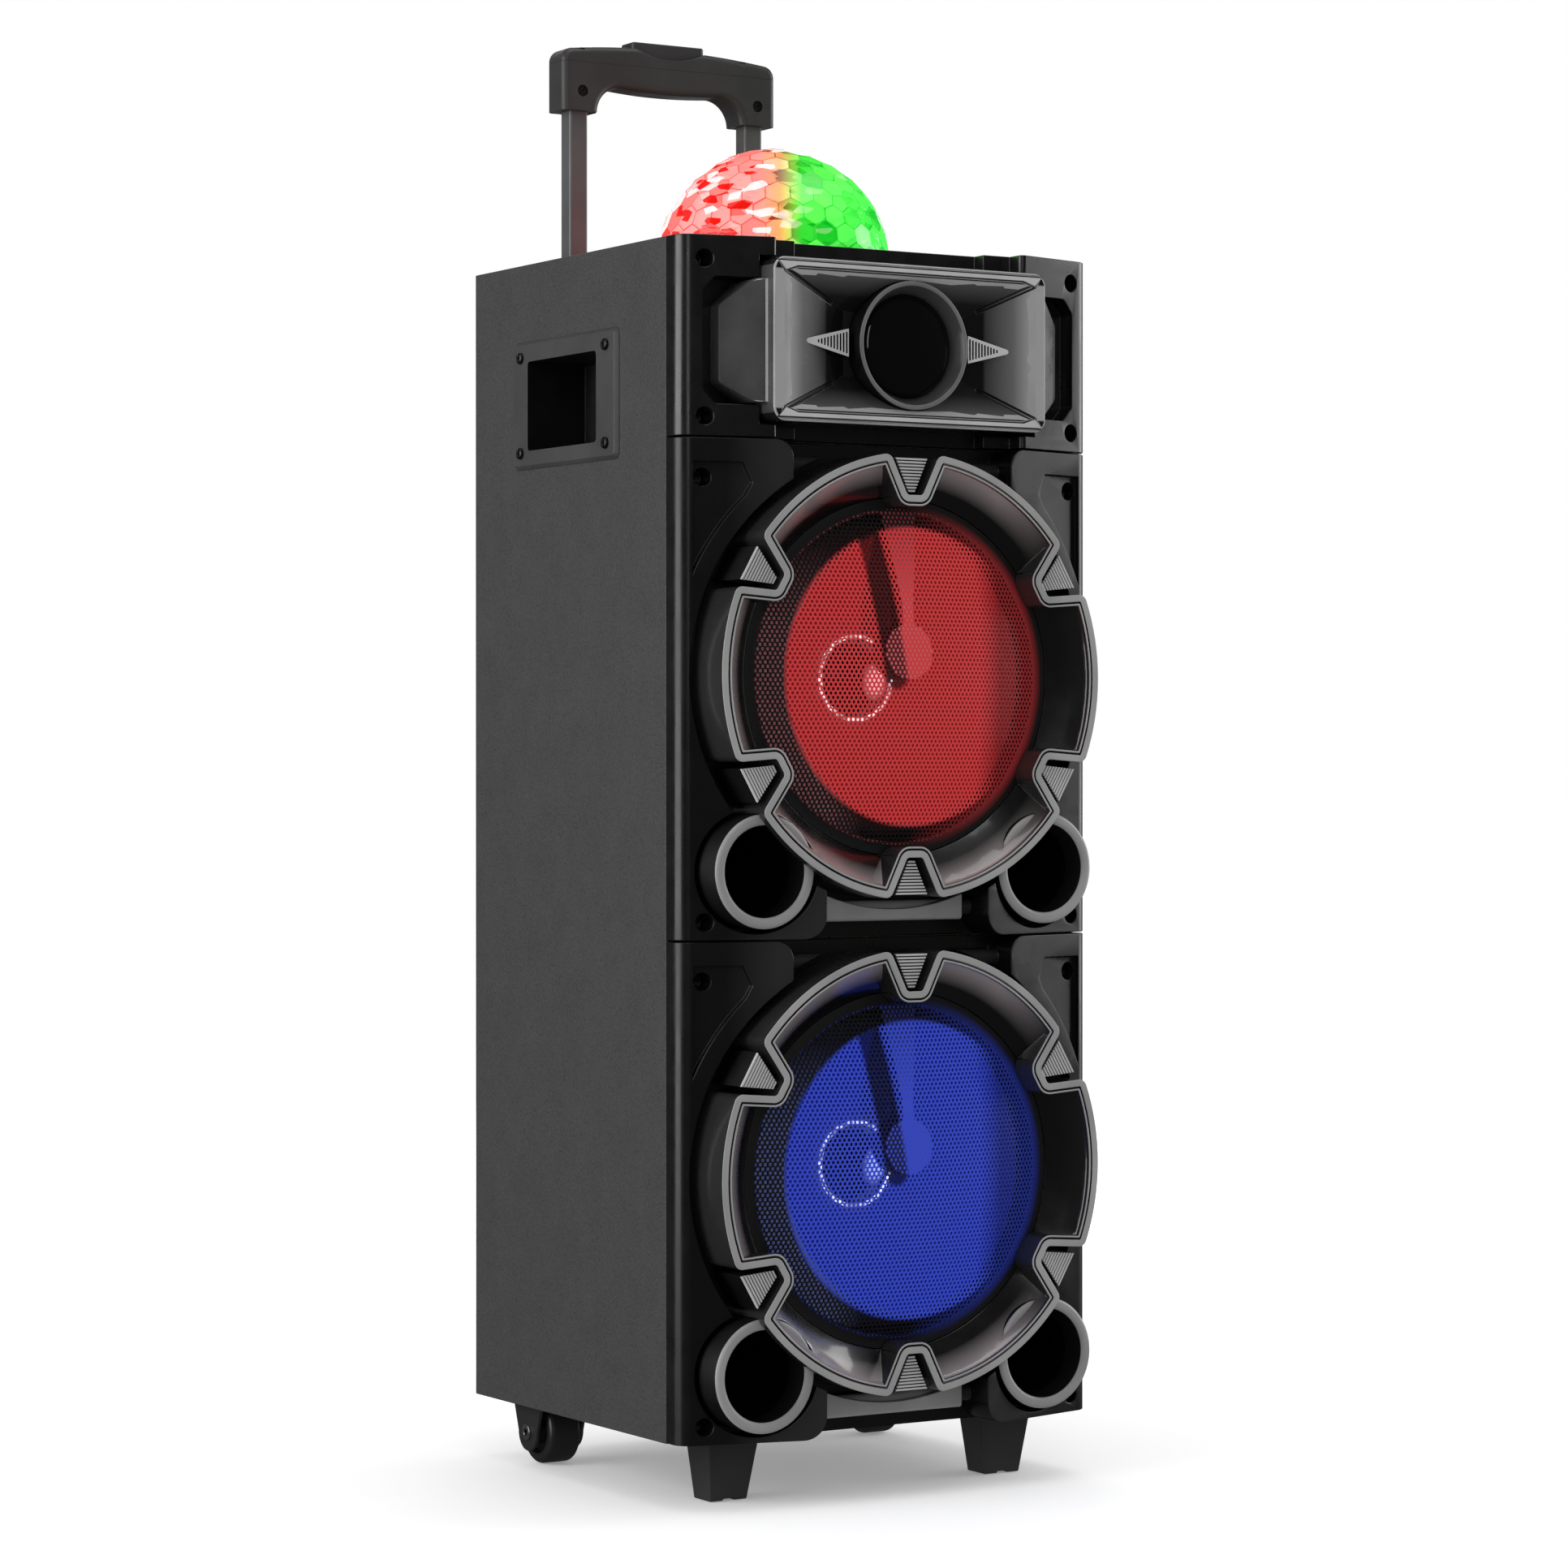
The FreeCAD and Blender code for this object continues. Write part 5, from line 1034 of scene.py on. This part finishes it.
def paint_horn_frame(piece):
    """Painted reflections and highlights: a dark throat, cheeks graded towards grey at the rim, lids
    faintly graded, the lip's flat face grey at the sides and black at top and bottom, wings in a lighter
    mottled grey as painted sheen, and a painted highlight line round the rim.
    """
    front = front_of("horn_frame")
    centre = middle("horn_frame")
    face_back = front + 0.4 * MM
    rim_back = front + 1.2 * MM
    throat_y = front + 11.8 * MM
    wing_start = half_width("horn_frame") - 27.0 * MM
    # Greys painted along the cheeks, lids and lip stand in for reflections; the wings' lighter grey is
    # painted sheen.
    cheek_stops = ((0.0, 0.002), (61 * MM, 0.003), (63 * MM, 0.04), (82 * MM, 0.14), (100 * MM, 0.42))
    lid_stops = ((0.0, 0.002), (30 * MM, 0.006), (46 * MM, 0.09))
    lip_stops = ((0.0, 0.36), (44.5 * MM, 0.36), (45.5 * MM, 0.004), (60 * MM, 0.004))
    cheek = graded("horn_cheek", "X", centre, cheek_stops)
    lid = graded("horn_lid", "Z", centre, lid_stops)
    lip = graded("horn_lip", "Z", centre, lip_stops)
    wing = moulded("horn_wing", (0.055, 0.055, 0.055), 0.32, mottle=0.35, smudge=0.1)

    def in_dish(place, normal):
        return face_back < place.y < throat_y and normal.y < -0.7

    repaint(piece, wing, lambda place, normal: abs(place.x) > wing_start)
    repaint(piece, cheek, lambda place, normal: in_dish(place, normal) and abs(normal.x) > 0.15)
    repaint(piece, lid, lambda place, normal: in_dish(place, normal) and abs(normal.z) > 0.3)
    repaint(piece, lip, lambda place, normal: place.y < face_back and normal.y < -0.98)
    repaint(piece, RIM_HIGHLIGHT, lambda place, normal: place.y < rim_back and -0.98 < normal.y < -0.1)


def paint_ring(piece):
    """A light rim, a darker funnel, and the outer wall painted black as shade."""
    rim_back = front_of("tweeter_ring") + 0.6 * MM
    centre = middle("tweeter_ring")
    wall_radius = half_width("tweeter_ring") - 0.3 * MM

    def is_wall(place, normal):
        return math.hypot(place.x - centre.x, place.z - centre.z) > wall_radius and place.y > rim_back

    repaint(piece, FUNNEL_GREY, lambda place, normal: place.y > rim_back)
    repaint(piece, RECESS_SHADE, is_wall)


def paint_cup(piece):
    """The pocket's inside lies in shadow."""
    plate = 4.0 * MM
    plate_back = -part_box("handle_cup_left")[0].x - plate
    repaint(piece, RECESS_SHADE, lambda place, normal: abs(place.x) < plate_back)


def paint_horn_trim(piece):
    """The bars and arrow rims keep the trim's light grey; the grooves between the ribs are painted dark as
    shade.
    """
    arrow_front = front_of("horn_trim") + 5.2 * MM
    groove_floor = arrow_front + 0.6 * MM
    level = middle("tweeter_ring").z
    arrow_reach = half_width("tweeter_ring") / 2

    def in_groove(place, normal):
        return abs(place.z - level) < arrow_reach and place.y > groove_floor

    repaint(piece, RECESS_SHADE, in_groove)


def paint_woofer_deck(piece, deck):
    """Painted sheen: the raised pads are greyer towards the middle, and the bridge under the bezel is
    painted satin grey as a highlight.
    """
    low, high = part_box("woofer_deck_" + deck)
    slab_front = high.y - 8.5 * MM
    bridge_half = 53.5 * MM
    bridge_top = low.z + 45.0 * MM
    bridge_back = high.y - 9.0 * MM
    pads = graded(
        "deck_pads_" + deck,
        "X",
        middle("woofer_deck_" + deck),
        ((0.0, 0.024), (96 * MM, 0.024), (128 * MM, 0.005), (166 * MM, 0.004)),
        roughness=0.30,
        coat=0.0,
    )

    def is_bridge(place, normal):
        return abs(place.x) < bridge_half and place.z < bridge_top and place.y < bridge_back

    repaint(piece, pads, lambda place, normal: place.y < slab_front and normal.y < -0.3)
    repaint(piece, BRIDGE_HIGHLIGHT, is_bridge)


# --- Building every piece ---------------------------------
# Width of the rounding on hard edges, millimetres, where it isn't the usual one.
BEVEL_GROUPS = {
    0.8: ("side_panel_left", "side_panel_right"),
    0.7: ("woofer_deck_lower", "woofer_deck_upper", "tweeter_deck", "front_feet"),
    0.6: ("horn_frame",),
    0.5: ("top_panel", "bottom_panel", "back_panel", "bezel_lower", "bezel_upper"),
    0.3: ("trolley_sleeves", "wheel_axles"),
    0.25: ("trolley_tubes",),
    0.22: ("horn_trim", "bezel_wedges_lower", "bezel_wedges_upper"),
    0.2: ("case_screws", "grip_screws", "volume_knob", "microphone_knob"),
}
BEVEL = {node: width for width, nodes in BEVEL_GROUPS.items() for node in nodes}
USUAL_BEVEL = 0.4
# Pieces with a shape of their own here, and pieces shut inside the cabinet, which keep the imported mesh.
CUSTOM = {"light_dome", "tweeter_lens", "tweeter_ring", "rear_wheel_left", "rear_wheel_right"}
UNSEEN = {"front_board", "tweeter_driver", "amp_board", "battery_pack", "dome_motor"}
PAINT = {
    "horn_frame": paint_horn_frame,
    "horn_trim": paint_horn_trim,
    "handle_cup_left": paint_cup,
    "handle_cup_right": paint_cup,
}
for deck in DECKS:
    CUSTOM |= {"grille_" + deck, "woofer_cone_" + deck, "port_tubes_" + deck, "lamp_arm_" + deck}
    UNSEEN |= {"woofer_magnet_" + deck, "woofer_basket_" + deck}
    PAINT["bezel_" + deck] = partial(paint_bezel, deck=deck)
    PAINT["bezel_wedges_" + deck] = partial(paint_wedges, deck=deck)
    PAINT["woofer_deck_" + deck] = partial(paint_woofer_deck, deck=deck)


def build_pieces():
    for node in sorted(frame["nodes"]):
        if node in CUSTOM:
            continue
        material = MATERIALS[SLOT_OF[node]]
        if node in UNSEEN:
            mesh = frame["nodes"][node].data
            mesh.materials.clear()
            mesh.materials.append(material)
            continue
        piece = refined(node, material, BEVEL.get(node, USUAL_BEVEL))
        if node in PAINT:
            PAINT[node](piece)
    for deck in DECKS:
        perforated_sheet(deck)
        woofer_cone(deck)
        paint_ports(port_pair(deck, MATERIALS["port_plastic"]), deck)
        refined("lamp_arm_" + deck, lamp_arm_material(deck), USUAL_BEVEL)
    tweeter_lens(MATERIALS["lens_plastic"])
    paint_ring(tweeter_ring(MATERIALS["ring_plastic"]))
    light_dome()
    wheel("left", MATERIALS["wheel_plastic"])
    wheel("right", MATERIALS["wheel_plastic"])


# --- Studio -----------------------------------------------
# Name, place and size of each softbox in metres, and its power in watts.
SOFTBOXES = (
    ("side_light", (-2.6, 0.15, 0.95), (2.0, 2.2), 48.0),
    ("right_light", (2.9, -0.5, 1.1), (1.6, 2.2), 40.0),
    ("front_light", (-1.5, -3.0, 1.6), (0.5, 1.6), 7.0),
    ("top_light", (0.2, -0.3, 2.9), (2.0, 1.6), 18.0),
    ("back_light", (0.9, 2.7, 1.5), (2.2, 1.8), 22.0),
)


def softbox(name, place, size, power):
    data = bpy.data.lights.new(name, "AREA")
    data.shape = "RECTANGLE"
    data.size, data.size_y = size
    data.energy = power
    lamp = bpy.data.objects.new(name, data)
    bpy.context.scene.collection.objects.link(lamp)
    lamp.location = place
    lamp.visible_camera = False
    middle_height = Vector((0.0, 0.0, 0.5))
    lamp.rotation_mode = "QUATERNION"
    lamp.rotation_quaternion = (middle_height - lamp.location).to_track_quat("-Z", "Y")


def floor():
    """A pale floor that glows a little, less round the speaker so that its shadow shows."""
    bm = bmesh.new()
    reach = 40.0
    count = 8
    near, far = 0.4, 1.6
    near_glow, far_glow = 0.22, 0.60
    lines = [-reach + 2 * reach * index / count for index in range(count + 1)]
    grid = [[bm.verts.new((x, y, 0.0)) for y in lines] for x in lines]
    for i in range(count):
        for j in range(count):
            bm.faces.new((grid[i][j], grid[i + 1][j], grid[i + 1][j + 1], grid[i][j + 1]))
    piece = finish_mesh(bm, "studio_floor", 35.0)
    piece.location.z = -0.5 * MM
    shade = Shade("pale_floor")
    shade.set("Base Color", (0.90, 0.90, 0.90, 1.0))
    shade.set("Emission Color", (1.0, 1.0, 1.0, 1.0))
    geometry = shade.add("ShaderNodeNewGeometry")
    distance = shade.add("ShaderNodeVectorMath", operation="LENGTH")
    shade.join(geometry.outputs["Position"], distance.inputs[0])
    shade.feed("Emission Strength", shade.remap(distance.outputs["Value"], near, far, near_glow, far_glow))
    shade.set("Roughness", 0.9)
    piece.data.materials.append(shade.material)
    piece.visible_glossy = False
    piece.visible_diffuse = False


def world():
    """A white surround, dim in reflections so that the glossy mouldings stay dark."""
    lighting_strength = 0.55
    reflected_strength = 0.05
    surround = bpy.data.worlds.new("studio")
    bpy.context.scene.world = surround
    surround.use_nodes = True
    tree = surround.node_tree
    background = tree.nodes["Background"]
    background.inputs["Color"].default_value = (1.0, 1.0, 1.0, 1.0)
    path = tree.nodes.new("ShaderNodeLightPath")
    lighting = tree.nodes.new("ShaderNodeMapRange")
    lighting.inputs["To Min"].default_value = lighting_strength
    lighting.inputs["To Max"].default_value = reflected_strength
    tree.links.new(path.outputs["Is Glossy Ray"], lighting.inputs["Value"])

    def larger(first, second):
        node = tree.nodes.new("ShaderNodeMath")
        node.operation = "MAXIMUM"
        tree.links.new(first, node.inputs[0])
        tree.links.new(second, node.inputs[1])
        return node.outputs["Value"]

    direct = larger(path.outputs["Is Camera Ray"], path.outputs["Is Transmission Ray"])
    seen = larger(direct, lighting.outputs["Result"])
    tree.links.new(seen, background.inputs["Strength"])


def camera():
    """A long lens at the height of the speaker's middle, to the left of its front."""
    place = (-1.56193, -2.57011, 0.47896)
    azimuth = math.radians(-31.366)
    elevation = math.radians(0.216)
    data = bpy.data.cameras.new("camera")
    data.sensor_width = 36.0
    data.lens = 100.28
    data.clip_end = 200.0
    viewer = bpy.data.objects.new("camera", data)
    bpy.context.scene.collection.objects.link(viewer)
    level = math.cos(elevation)
    back = Vector((math.sin(azimuth) * level, -math.cos(azimuth) * level, math.sin(elevation)))
    viewer.location = place
    viewer.rotation_mode = "QUATERNION"
    viewer.rotation_quaternion = (-back).to_track_quat("-Z", "Y")
    bpy.context.scene.camera = viewer


def studio():
    for name, place, size, power in SOFTBOXES:
        softbox(name, place, size, power)
    world()
    floor()
    camera()
    bpy.context.scene.view_settings.view_transform = "Standard"


build_pieces()
studio()
